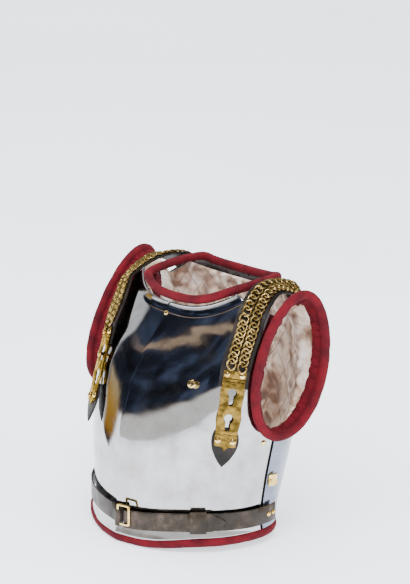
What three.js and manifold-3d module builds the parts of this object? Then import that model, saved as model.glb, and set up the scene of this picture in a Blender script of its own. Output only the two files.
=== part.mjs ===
// A heavy cavalry cuirass of the nineteenth century: a ridged steel breastplate and a backplate over a
// quilted cloth lining with rolled red borders, carried by chain-covered shoulder straps and closed by a
// belt.
//
// Millimetres, +Z up. The wearer faces -Y and the wearer's left is +X. The cuirass stands on its hem roll
// at z = 0.
import * as THREE from "three";
import { mergeVertices } from "three/addons/utils/BufferGeometryUtils.js";
import Module from "manifold-3d";

const wasm = await Module();
wasm.setup();

// ---------------------------------------------------------------- driving dimensions

// Horizontal sections through the steel, from hem to shoulder: half width at the side seam, depth of the
// front ridge, depth of the side seam, depth of the back, and how sharply the front is keeled (0 round,
// 1 a wedge).
const SECTIONS = [
  { z: 0, half: 164, front: -143, side: 18, back: 98, keel: 0.32 },
  { z: 14, half: 161, front: -139, side: 18, back: 100, keel: 0.32 },
  { z: 28, half: 157, front: -134, side: 18, back: 105, keel: 0.34 },
  { z: 46, half: 155, front: -132, side: 19, back: 112, keel: 0.38 },
  { z: 75, half: 157, front: -136, side: 21, back: 123, keel: 0.42 },
  { z: 115, half: 162, front: -138, side: 24, back: 135, keel: 0.44 },
  { z: 155, half: 168, front: -133, side: 28, back: 143, keel: 0.43 },
  { z: 200, half: 174, front: -122, side: 33, back: 149, keel: 0.42 },
  { z: 245, half: 177, front: -105, side: 38, back: 152, keel: 0.4 },
  { z: 285, half: 175, front: -81, side: 43, back: 153, keel: 0.36 },
  { z: 320, half: 168, front: -52, side: 48, back: 150, keel: 0.3 },
  { z: 350, half: 159, front: -24, side: 52, back: 143, keel: 0.22 },
  { z: 375, half: 149, front: 2, side: 56, back: 131, keel: 0.15 },
  { z: 402, half: 134, front: 30, side: 61, back: 106, keel: 0.1 },
];
const FRONT_ROUNDNESS = 2.45; // exponent of a front section away from its keel
const BACK_ROUNDNESS = 2.9; // exponent of a back section, which is flatter
const MIDDLE_Y = 3.9; // depth of the whole object's middle in the section table

const BREAST_THICK = 3;
const BACK_THICK = 1.8;
const GAP = 0.4; // between pieces that touch on the real object
const SEAM = 0.979; // where a plate's edge lies beside the open slit, as a share of the way to the side

// Lower edge of the steel: its height in front and behind, and how far it rises towards the sides.
const HEM = { z: 13.5, arch: 9, archFrom: 0.1, archTo: 0.55 };
const NECK = { half: 104, front: 352, back: 366, shoulder: 378, power: 3.2 };
const ARM = { y: 55, z: 268, half: 56, high: 96, lean: 0.237, power: 1.2, shoulderTurn: 150 };

const ROLL = { arm: 7, neck: 6.5, hem: 6.2, hemInset: 4.5 }; // radii of the cloth rolls
const ARM_RING = { y: 48.2, z: 283, high: 104, egg: 0.1 };
const ARM_RING_SIDES = {
  left: { x: 187.7, half: 56, turn: 0.25, lean: 0.24, inward: 0.09 },
  right: { x: 191.3, half: 57, turn: 0.02, lean: 0.3, inward: 0.11 },
};
const SLEEVE = { half: 1.6, inset: 12.6, out: 1 }; // its end lies inside and beside the armhole's edge
const LINING = { gap: 4, thick: 4.5, inset: 5 };

const STRAP = { half: 22, thick: 2.4, from: 124, clear: 0.6 };
const KEY_PLATE = { to: 148, thick: 1.6, circle: 6.9, slot: 3.6, drop: 19 };
const END_PLATE = { half: 20, taper: 5, taperLong: 4, long: 20 };
const CHAIN = { half: 6.9, rise: 2.1, aside: 8.4, clear: 1.5, steps: 14, sides: 6 };
const BELT = { half: 14, thick: 2.4, clear: 3.4 };

const RIVET = { head: 4.2, rise: 2.6, shank: 1.5, sides: 6 };
const STRAP_RIVET = { head: 4.9, grip: 5.6, aside: 11.3 };
const STUD = { head: 6.2, headRise: 2.6, neck: 2.9, neckRise: 9, shank: 2, sides: 8 };

// ---------------------------------------------------------------- materials

const finish = (name, color, roughness, metalness = 0) => {
  return new THREE.MeshStandardMaterial({ name, color, roughness, metalness });
};
const steel = finish("polished_steel", 0xb4b8bd, 0.14, 1);
const brass = finish("brass", 0xc9a24a, 0.25, 1);
const redCloth = finish("red_wool", 0x8a1426, 0.95);
const creamCloth = finish("cream_quilt", 0xd8c8b4, 0.9);
const beltLeather = finish("brown_leather", 0x534a45, 0.6);
const strapLeather = finish("black_leather", 0x2a2422, 0.55);

// ---------------------------------------------------------------- the body surface

// A column of the section table at height z, by a cubic through the rows.
function section(column, z) {
  const rows = SECTIONS;
  let i = 0;
  while (i < rows.length - 2 && z > rows[i + 1].z) i += 1;
  const slope = (k) => {
    const a = rows[Math.max(k - 1, 0)];
    const b = rows[Math.min(k + 1, rows.length - 1)];
    return (b[column] - a[column]) / (b.z - a.z);
  };
  const [low, high] = [rows[i], rows[i + 1]];
  const step = high.z - low.z;
  const t = (z - low.z) / step;
  const [t2, t3] = [t * t, t * t * t];
  return (
    (2 * t3 - 3 * t2 + 1) * low[column] +
    (t3 - 2 * t2 + t) * step * slope(i) +
    (3 * t2 - 2 * t3) * high[column] +
    (t3 - t2) * step * slope(i + 1)
  );
}

// How far out from the seam plane a section stands, from 1 at its middle to 0 at the seam; u is |x| / half
// width.
const fullness = {
  front: (u, keel) => Math.sqrt(Math.max(0, 1 - keel * u - (1 - keel) * u ** FRONT_ROUNDNESS)),
  back: (u) => Math.sqrt(Math.max(0, 1 - u ** BACK_ROUNDNESS)),
};

// A point of the body surface. s runs from -1 at the wearer's right seam over 0 in the middle to 1 at the
// left seam.
function bare(face, s, z, wide = 0) {
  const u = 1 - (1 - Math.abs(s)) ** 2;
  const side = section("side", z);
  const reach = section(face, z) - side;
  const out = reach + Math.sign(reach) * wide;
  const x = Math.sign(s) * u * (section("half", z) + wide);
  return new THREE.Vector3(x, side + out * fullness[face](u, section("keel", z)) - MIDDLE_Y, z);
}

// The outward normal of the body surface.
function outward(face, s, z) {
  const [ds, dz] = [0.004, 0.5]; // steps of the differences
  const across = bare(face, s + ds, z).sub(bare(face, s - ds, z));
  const up = bare(face, s, z + dz).sub(bare(face, s, z - dz));
  const n = across.cross(up).normalize();
  return face === "front" ? n : n.negate();
}

// At a seam the surface's two halves meet, so the normal there is taken a little way in.
const NEAR_SEAM = 0.985;
const shortOfSeam = (s) => Math.max(-NEAR_SEAM, Math.min(NEAR_SEAM, s));
const normalAt = (face, s, z) => outward(face, shortOfSeam(s), z);

const skin = (face, s, z, lift) => bare(face, s, z).addScaledVector(normalAt(face, s, z), lift);

// The s of a point at half-distance x from the middle.
const acrossAt = (x, z) => Math.sign(x) * (1 - Math.sqrt(Math.max(0, 1 - Math.abs(x) / section("half", z))));

// The s of the point at depth y (in the section table's frame).
function depthAt(face, y, z) {
  const side = section("side", z);
  const wanted = (y - side) / (section(face, z) - side);
  let [low, high] = [0, 1];
  for (let k = 0; k < 40; k += 1) {
    const mid = (low + high) / 2;
    if (fullness[face](mid, section("keel", z)) > wanted) low = mid;
    else high = mid;
  }
  return 1 - Math.sqrt(1 - low);
}

// ---------------------------------------------------------------- outlines of the plates

const smooth = (t) => t * t * (3 - 2 * t);
const clamp01 = (t) => Math.min(1, Math.max(0, t));
const between = (s, from, to) => smooth(clamp01((s - from) / (to - from)));
const hemRise = (s) => HEM.arch * between(Math.abs(s), HEM.archFrom, HEM.archTo);
const neckHeight = (face, x) => {
  return NECK[face] + (NECK.shoulder - NECK[face]) * (Math.abs(x) / NECK.half) ** NECK.power;
};

// The armhole's edge at a turn of `angle` from the armpit (0) forwards or backwards to the shoulder (a half
// turn).
function armEdge(face, angle) {
  const z = ARM.z - ARM.high * Math.cos(angle);
  const reach = ARM.half * Math.sin(angle) ** ARM.power;
  return { y: ARM.y + ARM.lean * (z - ARM.z) + (face === "front" ? -reach : reach), z };
}

const ROWS = { neck: 0.74, arm: 0.36 }; // share of the rows below the neck's and the armhole's lowest points
const ARM_END = THREE.MathUtils.degToRad(ARM.shoulderTurn);

// The plate's inner boundary, up the middle and along the neck, and its outer one, up the seam and round the
// armhole.
function innerBoundary(face, t) {
  if (t <= ROWS.neck) {
    return { s: 0, z: THREE.MathUtils.lerp(HEM.z, NECK[face], t / ROWS.neck) };
  }
  const x = (NECK.half * (t - ROWS.neck)) / (1 - ROWS.neck);
  const z = neckHeight(face, x);
  return { s: acrossAt(x, z), z };
}

function outerBoundary(face, t, seam) {
  const armpit = armEdge(face, 0).z;
  if (t <= ROWS.arm) {
    return { s: seam, z: THREE.MathUtils.lerp(HEM.z + HEM.arch, armpit, t / ROWS.arm) };
  }
  const { y, z } = armEdge(face, (ARM_END * (t - ROWS.arm)) / (1 - ROWS.arm));
  return { s: Math.min(seam, depthAt(face, y, z)), z };
}

// Points of one plate-shaped sheet over the body: rows from hem to shoulder, columns from middle to side.
// `inset` draws the sheet back from the hem and the seam.
const INSET = { hem: 2, seam: 1 / 400, hemRows: 0.08, fadeRows: 0.2 };

function sheetGrid(face, rows, columns, inset = 0) {
  const seam = SEAM - inset * INSET.seam;
  const grid = [];
  for (let j = 0; j <= rows; j += 1) {
    const t = j / rows;
    const a = innerBoundary(face, t);
    const b = outerBoundary(face, t, seam);
    const row = [];
    for (let i = 0; i <= columns; i += 1) {
      const w = i / columns;
      const s = THREE.MathUtils.lerp(a.s, b.s, w);
      const arch = (1 - clamp01(t / INSET.hemRows)) * (hemRise(s) - HEM.arch * w);
      const back = (1 - clamp01(t / INSET.fadeRows)) * inset * INSET.hem;
      row.push({ s, z: THREE.MathUtils.lerp(a.z, b.z, w) + arch + back });
    }
    grid.push(row);
  }
  return grid;
}

// ---------------------------------------------------------------- solids

const EDGE_MERGE = 1e-3; // points closer than this are one point

const stripped = (g) => {
  g.deleteAttribute("normal");
  g.deleteAttribute("uv");
  return g;
};

// A geometry from points and triangles, turned so that its faces point outwards.
function geometryOf(points, triangles) {
  const positions = new Float32Array(points.flatMap((p) => [p.x, p.y, p.z]));
  const g = new THREE.BufferGeometry();
  g.setAttribute("position", new THREE.BufferAttribute(positions, 3));
  g.setIndex(triangles);
  return turnedOut(mergeVertices(g, EDGE_MERGE));
}

function manifoldOf(g) {
  const merged = mergeVertices(stripped(g.clone()), EDGE_MERGE);
  const triVerts = new Uint32Array(merged.index.array);
  const vertProperties = merged.attributes.position.array;
  return new wasm.Manifold(new wasm.Mesh({ numProp: 3, vertProperties, triVerts }));
}

function fromManifold(solid) {
  const mesh = solid.getMesh();
  const g = new THREE.BufferGeometry();
  g.setAttribute("position", new THREE.BufferAttribute(mesh.vertProperties.slice(), 3));
  g.setIndex(new THREE.BufferAttribute(mesh.triVerts.slice(), 1));
  return g;
}

function turnedOut(g) {
  if (manifoldOf(g).volume() > 0) return g;
  const index = Array.from(g.index.array);
  for (let i = 0; i < index.length; i += 3) [index[i + 1], index[i + 2]] = [index[i + 2], index[i + 1]];
  g.setIndex(index);
  return g;
}

// A geometry of three.js's own as a closed one with its faces outwards.
const closed = (g) => turnedOut(mergeVertices(stripped(g), EDGE_MERGE));

const joined = (...parts) => fromManifold(parts.map(manifoldOf).reduce((a, b) => a.add(b)));
const cut = (g, tool) => fromManifold(manifoldOf(g).subtract(manifoldOf(tool)));

// A closed solid through rings of points: a loop that closes on itself, or a bar with its two ends capped.
function loft(rings, loop = false) {
  const sides = rings[0].length;
  const points = rings.flat();
  const triangles = [];
  const last = loop ? rings.length : rings.length - 1;
  for (let i = 0; i < last; i += 1) {
    const [a, b] = [i * sides, ((i + 1) % rings.length) * sides];
    for (let k = 0; k < sides; k += 1) {
      const n = (k + 1) % sides;
      triangles.push(a + k, a + n, b + n, a + k, b + n, b + k);
    }
  }
  if (!loop) {
    const end = (rings.length - 1) * sides;
    for (let k = 1; k < sides - 1; k += 1) {
      triangles.push(0, k + 1, k);
      triangles.push(end, end + k, end + k + 1);
    }
  }
  return geometryOf(points, triangles);
}

// A wall between two sheets of points with the same triangles; open edges of the sheets are joined.
function wall(outer, inner, triangles) {
  const n = outer.length;
  const faces = [];
  const edges = new Map();
  for (let i = 0; i < triangles.length; i += 3) {
    const [a, b, c] = triangles.slice(i, i + 3);
    faces.push(a, b, c, n + a, n + c, n + b);
    for (const [p, q] of [[a, b], [b, c], [c, a]]) {
      const back = `${q}_${p}`;
      if (edges.has(back)) edges.delete(back);
      else edges.set(`${p}_${q}`, [p, q]);
    }
  }
  for (const [p, q] of edges.values()) faces.push(q, p, n + p, q, n + p, n + q);
  return geometryOf([...outer, ...inner], faces);
}

// The two triangles of a quad, without a triangle that has shrunk to an edge; on the left half they run the
// other way.
function quadTriangles(a, b, c, d, side) {
  const quad = side > 0 ? [[a, b, c], [a, c, d]] : [[b, a, c], [c, a, d]];
  return quad.filter((t) => new Set(t).size === 3).flat();
}

// A wall over the body between two lifts from its surface, with a plate's outline.
function bodyWall(face, rows, columns, liftOut, liftIn, inset = 0) {
  const grid = sheetGrid(face, rows, columns, inset);
  const [outer, inner, triangles] = [[], [], []];
  const keys = new Map();
  const indexOf = (side, s, z) => {
    const key = `${(side * s).toFixed(6)}_${z.toFixed(4)}`.replace("-0.000000_", "0.000000_");
    if (!keys.has(key)) {
      keys.set(key, outer.length);
      outer.push(skin(face, side * s, z, liftOut));
      inner.push(skin(face, side * s, z, liftIn));
    }
    return keys.get(key);
  };
  for (const side of [1, -1]) {
    const corner = (row, col) => indexOf(side, grid[row][col].s, grid[row][col].z);
    for (let j = 0; j < rows; j += 1) {
      for (let i = 0; i < columns; i += 1) {
        const [a, b, c, d] = [corner(j, i), corner(j, i + 1), corner(j + 1, i + 1), corner(j + 1, i)];
        triangles.push(...quadTriangles(a, b, c, d, side));
      }
    }
  }
  return wall(outer, inner, triangles);
}

// A frame for sweeps: point, and the directions in which a section's x and y lie.
const placed = (f, x, y) => f.p.clone().addScaledVector(f.x, x).addScaledVector(f.y, y);
const ringAt = (f, outline) => outline.map(([x, y]) => placed(f, x, y));
const swept = (frames, outline, loop = false) => loft(frames.map((f) => ringAt(f, outline)), loop);
const slab = (half, low, high) => [[-half, low], [half, low], [half, high], [-half, high]];

// ---------------------------------------------------------------- plates and linings

// A turned edge along a plate's boundary: x along the outward normal, y away from the plate.
function rimFrames(face, places) {
  const points = places.map(({ s, z }) => bare(face, s, z));
  return places.map(({ s, z }, i) => {
    const x = normalAt(face, s, z);
    const a = points[Math.max(i - 1, 0)];
    const b = points[Math.min(i + 1, points.length - 1)];
    const along = b.clone().sub(a).normalize();
    return { p: points[i], x, y: along.cross(x).normalize() };
  });
}

const range = (n) => Array.from({ length: n + 1 }, (_, i) => i / n);
const mirrored = (places) => places.map(({ s, z }) => ({ s: -s, z }));

// The neck edge from the wearer's right shoulder to the left one, slightly inside the plate's boundary.
const COLLAR_DROP = 0.6;

function neckPlaces(face, steps) {
  const half = range(steps).map((f) => {
    const x = NECK.half * f;
    const z = neckHeight(face, x) - COLLAR_DROP;
    return { s: acrossAt(x, z), z };
  });
  return [...mirrored(half.slice(1)).reverse(), ...half];
}

// The collar's section: x out from the plate's surface, y up beyond its edge. It starts inside the plate's
// thickness and flares outwards to a rounded lip.
const collarSection = (thick) => {
  return [[0.3 - thick, -4], [0.6 - thick, 2], [6, 6.5], [8.5, 5], [2.5, 1], [-0.3, -4]];
};
const PLATE_GRID = [15, 9]; // rows and columns of half a plate
const LINING_GRID = [10, 7];

// A plate with its neck edge turned out into a collar.
function plate(face, thick) {
  const up = face === "front" ? 1 : -1; // which way a frame's y points along this plate's edge
  const collar = collarSection(thick).map(([x, y]) => [x, y * up]);
  const edge = rimFrames(face, neckPlaces(face, 8));
  return joined(bodyWall(face, ...PLATE_GRID, 0, -thick), swept(edge, collar));
}

function lining(face, thick) {
  const top = -(thick + LINING.gap);
  return bodyWall(face, ...LINING_GRID, top, top - LINING.thick, LINING.inset);
}

// ---------------------------------------------------------------- cloth rolls

const turn = (share) => 2 * Math.PI * share;
const steps = (n) => range(n).slice(0, -1);
const circle = (r, sides) => steps(sides).map((f) => [r * Math.cos(turn(f)), r * Math.sin(turn(f))]);
const UP = new THREE.Vector3(0, 0, 1);
const level = (v) => v.clone().setZ(0).normalize();

// Frames round a closed line of points; x points away from the vertical axis through `middle`.
function ringFrames(points, middle) {
  return points.map((p, i) => {
    const n = points.length;
    const along = points[(i + 1) % n].clone().sub(points[(i + n - 1) % n]).normalize();
    const out = level(p.clone().sub(middle));
    const y = along.clone().cross(out).normalize();
    return { p, x: y.clone().cross(along).normalize(), y: y.z < 0 ? y.negate() : y };
  });
}

// The neck roll rides on the collars of both plates and bridges the open shoulders.
const NECK_ROLL = { above: 13.6, inward: 5, middle: 45, steps: 26, sides: 8 };

function neckRoll() {
  const above = new THREE.Vector3(0, 0, NECK_ROLL.above);
  const ride = (face) => neckPlaces(face, 6).slice(1, -1).map(({ s, z }) => bare(face, s, z).add(above));
  const knots = [...ride("front"), ...ride("back").reverse()];
  const line = new THREE.CatmullRomCurve3(knots, true, "centripetal");
  const middle = new THREE.Vector3(0, NECK_ROLL.middle, 0);
  const points = line.getSpacedPoints(NECK_ROLL.steps).slice(0, -1);
  for (const p of points) p.addScaledVector(level(p.clone().sub(middle)), -NECK_ROLL.inward);
  return swept(ringFrames(points, middle), circle(ROLL.neck, NECK_ROLL.sides), true);
}

// The hem roll hangs just inside the plates' lower edge and is flattened where the cuirass stands on it.
const HEM_ROLL = { below: 1.9, steps: 14 };

// Its section, as shares of its half width and of its height below the steel's edge.
const HEM_SIDE = [[0.65, -1], [1, -0.75], [1, -0.3], [0.5, 0]];
const HEM_SECTION = [...HEM_SIDE, ...HEM_SIDE.map(([x, y]) => [-x, y]).reverse()];

function hemRoll() {
  const top = HEM.z - HEM_ROLL.below;
  const edge = (face, s) => bare(face, s, HEM.z, -ROLL.hemInset).setZ(top + hemRise(s));
  const front = steps(HEM_ROLL.steps).map((f) => edge("front", 2 * f - 1));
  const back = steps(HEM_ROLL.steps).map((f) => edge("back", 1 - 2 * f));
  const frames = ringFrames([...front, ...back], new THREE.Vector3());
  const upright = frames.map((f) => ({ p: f.p, x: level(f.x), y: UP }));
  return swept(upright, HEM_SECTION.map(([x, y]) => [x * ROLL.hem, y * top]), true);
}

// The ring that borders an armhole, at a turn from its lowest point forwards. The two soft rings don't stand
// quite alike.
function armRing(name, angle) {
  const side = name === "left" ? 1 : -1;
  const ring = ARM_RING_SIDES[name];
  const t = -Math.cos(angle);
  const rise = ARM_RING.high * t;
  const ahead = ring.half * (1 - ARM_RING.egg * t) * Math.sin(angle);
  const y = ARM_RING.y + ring.lean * rise - ahead;
  const x = ring.x - ring.inward * rise + ring.turn * (y - ARM_RING.y);
  return new THREE.Vector3(side * x, y - MIDDLE_Y, ARM_RING.z + rise);
}

// Where the sleeve that carries the ring is sewn to the lining, just inside the edge of the steel's armhole.
function sleeveFoot(name, angle) {
  const side = name === "left" ? 1 : -1;
  const face = Math.sin(angle) >= 0 ? "front" : "back";
  const { y, z } = armEdge(face, Math.acos(Math.cos(angle)));
  const edge = bare(face, side * depthAt(face, y, z), z);
  const middle = new THREE.Vector3(edge.x, ARM.y - MIDDLE_Y + ARM.lean * (z - ARM.z), ARM.z);
  edge.addScaledVector(middle.sub(edge).normalize(), SLEEVE.inset);
  edge.x += side * SLEEVE.out;
  return edge;
}

// The stuffed roll of an arm ring and the gathered sleeve behind it, in one section that follows the ring.
const ARM_ROLL = { steps: 26, sides: 7, mouth: Math.PI / 6, near: 0.02 };

// A ring's frame at an angle: x towards the sleeve's foot, and how far away that foot is.
function armFrame(name, angle) {
  const side = name === "left" ? 1 : -1;
  const p = armRing(name, angle);
  const along = armRing(name, angle + ARM_ROLL.near).sub(armRing(name, angle - ARM_ROLL.near)).normalize();
  const x = sleeveFoot(name, angle).sub(p);
  x.addScaledVector(along, -x.dot(along));
  const length = x.length();
  x.normalize();
  return { p, x, y: along.cross(x).multiplyScalar(side), length };
}

// The roll's section is open, where the sleeve leaves it, over `mouth` to each side of the x direction.
function armRoll(name) {
  const { mouth, sides } = ARM_ROLL;
  const roll = range(sides).map((k) => {
    const a = THREE.MathUtils.lerp(mouth, 2 * Math.PI - mouth, k);
    return [ROLL.arm * Math.cos(a), ROLL.arm * Math.sin(a)];
  });
  const rings = steps(ARM_ROLL.steps).map((f) => {
    const frame = armFrame(name, turn(f));
    return ringAt(frame, [...roll, [frame.length, -SLEEVE.half], [frame.length, SLEEVE.half]]);
  });
  return loft(rings, true);
}

// ---------------------------------------------------------------- shoulder straps

// Each strap's middle line from its pointed end on the chest to its end on the backplate. The part with the
// keyhole plate is stiff and straight, from `tip` to `head`. The left strap hangs free beside the armhole;
// the right one is hooked on its stud.
const STRAP_ROUTES = {
  left: {
    tip: { x: 141.5, z: 139, lift: 7 },
    head: { x: 144.5, z: 284, lift: 8 },
    front: [
      { x: 143, z: 306, lift: 6 },
      { x: 140, z: 334, lift: 4 },
      { x: 136, z: 356, lift: 5 },
    ],
  },
  right: {
    tip: { x: 82, z: 163, lift: 12 },
    head: { x: 104, z: 298, lift: 7 },
    front: [
      { x: 113, z: 320, lift: 7 },
      { x: 123, z: 341, lift: 6.5 },
      { x: 130, z: 358, lift: 6.5 },
    ],
  },
};
const STRAP_CREST = { x: 126, y: 62, z: 386, tilt: 0.25 };
const STRAP_REAR = [
  { x: 119, z: 364, lift: 10 },
  { x: 114, z: 338, lift: 3.4 },
];
const STUD_PLACE = { x: 100, z: 259 };
const RIVET_AT = { head: 141.5, foot: 41 }; // distances from the strap's tip
const SIDE_RIVET = { s: 0.91, z: 166, head: 4.4 };
const NECK_RIVET = { z: 341, head: 4 };

// A point of a route on a plate, with the direction away from it.
function onPlate(face, side, { x, z, lift }) {
  const s = side * acrossAt(x, z);
  return { p: skin(face, s, z, lift), n: normalAt(face, s, z) };
}

const curve = (points) => new THREE.CatmullRomCurve3(points, false, "centripetal");

// The direction nearest to `v` that is square to the unit vector `along`.
const squared = (v, along) => v.clone().addScaledVector(along, -v.dot(along)).normalize();

// The flexible part of a strap, from the plate's head over the shoulder to its end on the backplate.
function flexibleKnots(side, front, bend) {
  const { x, y, z, tilt } = STRAP_CREST;
  const crest = { p: new THREE.Vector3(side * x, y - MIDDLE_Y, z), n: new THREE.Vector3(side * tilt, 0, 1) };
  const rear = STRAP_REAR.map((k) => onPlate("back", side, k));
  return [bend, ...front.map((k) => onPlate("front", side, k)), crest, ...rear];
}

// A route as a function from the distance from the tip to a frame: x across the strap, y away from the body.
function strapRoute(name) {
  const side = name === "left" ? 1 : -1;
  const { tip, head, front } = STRAP_ROUTES[name];
  const [start, bend] = [onPlate("front", side, tip), onPlate("front", side, head)];
  const along = bend.p.clone().sub(start.p).normalize();
  const stiff = bend.p.distanceTo(start.p);
  const flatOut = squared(start.n.clone().add(bend.n), along);
  const flatX = along.clone().cross(flatOut);
  const knots = flexibleKnots(side, front, { p: bend.p, n: flatOut });
  const line = curve(knots.map((k) => k.p));
  const normals = curve(knots.map((k) => k.n));
  const length = stiff + line.getLength();
  const frameAt = (a) => {
    if (a <= stiff) return { p: start.p.clone().addScaledVector(along, a), x: flatX, y: flatOut };
    const t = line.getUtoTmapping(clamp01((a - stiff) / (length - stiff)));
    const ahead = line.getTangent(t);
    const out = squared(normals.getPoint(t), ahead);
    return { p: line.getPoint(t), x: ahead.clone().cross(out).normalize(), y: out };
  };
  return { length, frameAt };
}

// A flat design, drawn with y along the strap, laid on the route: x across, y along, z out from the body.
function laid(route, g) {
  const out = g.clone();
  const pos = out.attributes.position;
  for (let i = 0; i < pos.count; i += 1) {
    const p = placed(route.frameAt(pos.getY(i)), pos.getX(i), pos.getZ(i));
    pos.setXYZ(i, p.x, p.y, p.z);
  }
  return closed(out);
}

// A shape as a plate of even thickness that stands on z = from.
function flat(shape, from, thick) {
  const settings = { depth: thick, bevelEnabled: false, curveSegments: 4 };
  return stripped(new THREE.ExtrudeGeometry(shape, settings)).translate(0, 0, from);
}

// Stations of the part that carries the chains.
const chainStations = (route) => {
  const [from, to] = [KEY_PLATE.to + 2.5, route.length - END_PLATE.long - 1];
  return range(CHAIN.steps).map((f) => from + (to - from) * f);
};

// Stations of the part under the brass end plate.
const endStations = ({ length }) => {
  const { long, taperLong } = END_PLATE;
  return [length - long, length - long / 2, length - taperLong, length];
};

function strapBacking(route) {
  const stations = [STRAP.from, ...chainStations(route), ...endStations(route)];
  return swept(stations.map(route.frameAt), slab(STRAP.half, 0, STRAP.thick));
}

// The keyhole plate's outline, half widths along its length from the pointed foot to its head.
const KEY_OUTLINE = [
  { a: 25, w: 0 },
  { a: 32, w: 8 },
  { a: 33.5, w: 16 },
  { a: 45, w: 16.8 },
  { a: 57, w: 16.6 },
  { a: 68, w: 18.2 },
  { a: 76, w: 18.8 },
  { a: 85, w: 17.8 },
  { a: 94, w: 17 },
  { a: 104, w: 17.6 },
  { a: 114, w: 18.2 },
  { a: 126, w: 17 },
  { a: 148, w: 17 },
];
const KEYHOLES = [75, 114]; // distance of each hole's round part from the strap's tip
const KEY_BARS = [
  { a: 50, rise: 1 },
  { a: 130.5, rise: 1.6 },
  { a: 134, rise: 1.6 },
];
const KEY_BAR = { wide: 33, long: 2, sunk: 0.5 };

function keyholeShape(a) {
  const { circle: r, slot, drop } = KEY_PLATE;
  const lean = Math.asin(slot / r);
  const hole = new THREE.Path();
  hole.absarc(0, a, r, -Math.PI / 2 + lean, (3 * Math.PI) / 2 - lean, false);
  hole.absarc(0, a - drop + slot, slot, Math.PI, 2 * Math.PI, false);
  hole.closePath();
  return hole;
}

function keyPlate(route) {
  const shape = new THREE.Shape();
  const right = KEY_OUTLINE.map(({ a, w }) => new THREE.Vector2(w, a));
  const left = KEY_OUTLINE.slice(1).map(({ a, w }) => new THREE.Vector2(-w, a)).reverse();
  shape.setFromPoints([...right, ...left]);
  shape.holes = KEYHOLES.map(keyholeShape);
  const base = STRAP.thick + STRAP.clear;
  const { wide, long, sunk } = KEY_BAR;
  const bars = KEY_BARS.map(({ a, rise }) => {
    const middle = base + KEY_PLATE.thick + (rise - sunk) / 2;
    return new THREE.BoxGeometry(wide, long, rise + sunk).translate(0, a, middle);
  });
  return laid(route, joined(flat(shape, base, KEY_PLATE.thick), ...bars));
}

// The leather leaf at the strap's end: half of its edge as a control point and an end point per curve.
const LEAF = [[14, 17, 20, 32], [21.5, 50, 14, 60]];

function strapTip(route) {
  const [[ax, ay, bx, by], [cx, cy, dx, dy]] = LEAF;
  const shape = new THREE.Shape();
  shape.moveTo(0, 0);
  shape.quadraticCurveTo(ax, ay, bx, by);
  shape.quadraticCurveTo(cx, cy, dx, dy);
  shape.lineTo(-dx, dy);
  shape.quadraticCurveTo(-cx, cy, -bx, by);
  shape.quadraticCurveTo(-ax, ay, 0, 0);
  return laid(route, flat(shape, 0, STRAP.thick));
}

// Brass end plate that holds strap and chains to the backplate; its last edge is narrower.
function strapEnd(route) {
  const low = STRAP.thick + STRAP.clear;
  const frames = endStations(route).map(route.frameAt);
  const halves = frames.map((_, i) => END_PLATE.half - (i === frames.length - 1 ? END_PLATE.taper : 0));
  return loft(frames.map((f, i) => ringAt(f, slab(halves[i], low, low + KEY_PLATE.thick))));
}

// One row of chain as a tube of its outer form, from the keyhole plate to the end plate.
function chainRow(route, aside) {
  const base = STRAP.thick + CHAIN.clear + CHAIN.rise;
  const outline = circle(1, CHAIN.sides).map(([x, y]) => [aside + CHAIN.half * x, base + CHAIN.rise * y]);
  return swept(chainStations(route).map(route.frameAt), outline);
}

// ---------------------------------------------------------------- waist belt

// The belt lies on the waist's widest line within its own width, so it bridges the hollow of the waist.
function beltFrame(face, s, z, lift) {
  const widest = (column) => {
    const found = [-1, -0.5, 0, 0.5, 1].map((k) => section(column, z + k * BELT.half));
    return column === "front" ? Math.min(...found) : Math.max(...found);
  };
  const at = (q) => {
    const u = 1 - (1 - Math.abs(q)) ** 2;
    const side = section("side", z);
    const reach = widest(face) - side;
    const x = Math.sign(q) * u * widest("half");
    return new THREE.Vector3(x, side + reach * fullness[face](u, section("keel", z)) - MIDDLE_Y, z);
  };
  const inside = shortOfSeam(s);
  const near = 0.004;
  const along = at(inside + near).sub(at(inside - near)).normalize();
  const out = along.clone().cross(UP).normalize();
  if (face === "back") out.negate();
  return { p: at(s).addScaledVector(out, BELT.clear + lift), x: UP.clone(), y: out };
}

// Height of each half's middle, from the front over the hip to the side.
const beltHeight = {
  left: (s) => 41 + 8 * between(s, 0, 0.45) - 3 * between(s, 0.55, 0.95),
  right: (s) => 47 + 4 * between(s, 0, 0.6),
};
const BELT_STEPS = 12;
const BELT_BACK = [0.97, 0.91, 0.85]; // stations on the backplate
const BELT_RIGHT_FROM = 2; // distance from the middle at which the right half starts
const BUCKLE = { x: 19, half: 12, high: 17, bar: 4, corner: 4, thick: 3, clear: 1.4, z: 49 };
const UPPER = { gap: 0.5, end: 141, fold: [-0.004, 0.012], tuck: 0.2 }; // the end that lies back on the belt
const KEEPER = { from: 110, to: 126, clear: 0.8, wall: 1.8, under: [-1.3, -0.5], beyond: 0.02 };
const sAtBelt = (x) => acrossAt(x, 35);

// Stations of a belt half: s along the front from the middle outwards, then round onto the backplate.
function beltFrames(name, from) {
  const side = name === "left" ? 1 : -1;
  const height = beltHeight[name];
  const front = range(BELT_STEPS).map((f) => {
    const s = THREE.MathUtils.lerp(from, NEAR_SEAM, f);
    return beltFrame("front", side * s, height(s), 0);
  });
  return [...front, ...BELT_BACK.map((s) => beltFrame("back", side * s, height(1), 0))];
}

// A band on the left half between two places, with its section as a function of the share of the way.
function beltBand(from, to, count, outline) {
  const rings = range(count).map((f) => {
    const s = THREE.MathUtils.lerp(from, to, f);
    return ringAt(beltFrame("front", s, beltHeight.left(s), 0), outline(f));
  });
  return loft(rings);
}

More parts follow.
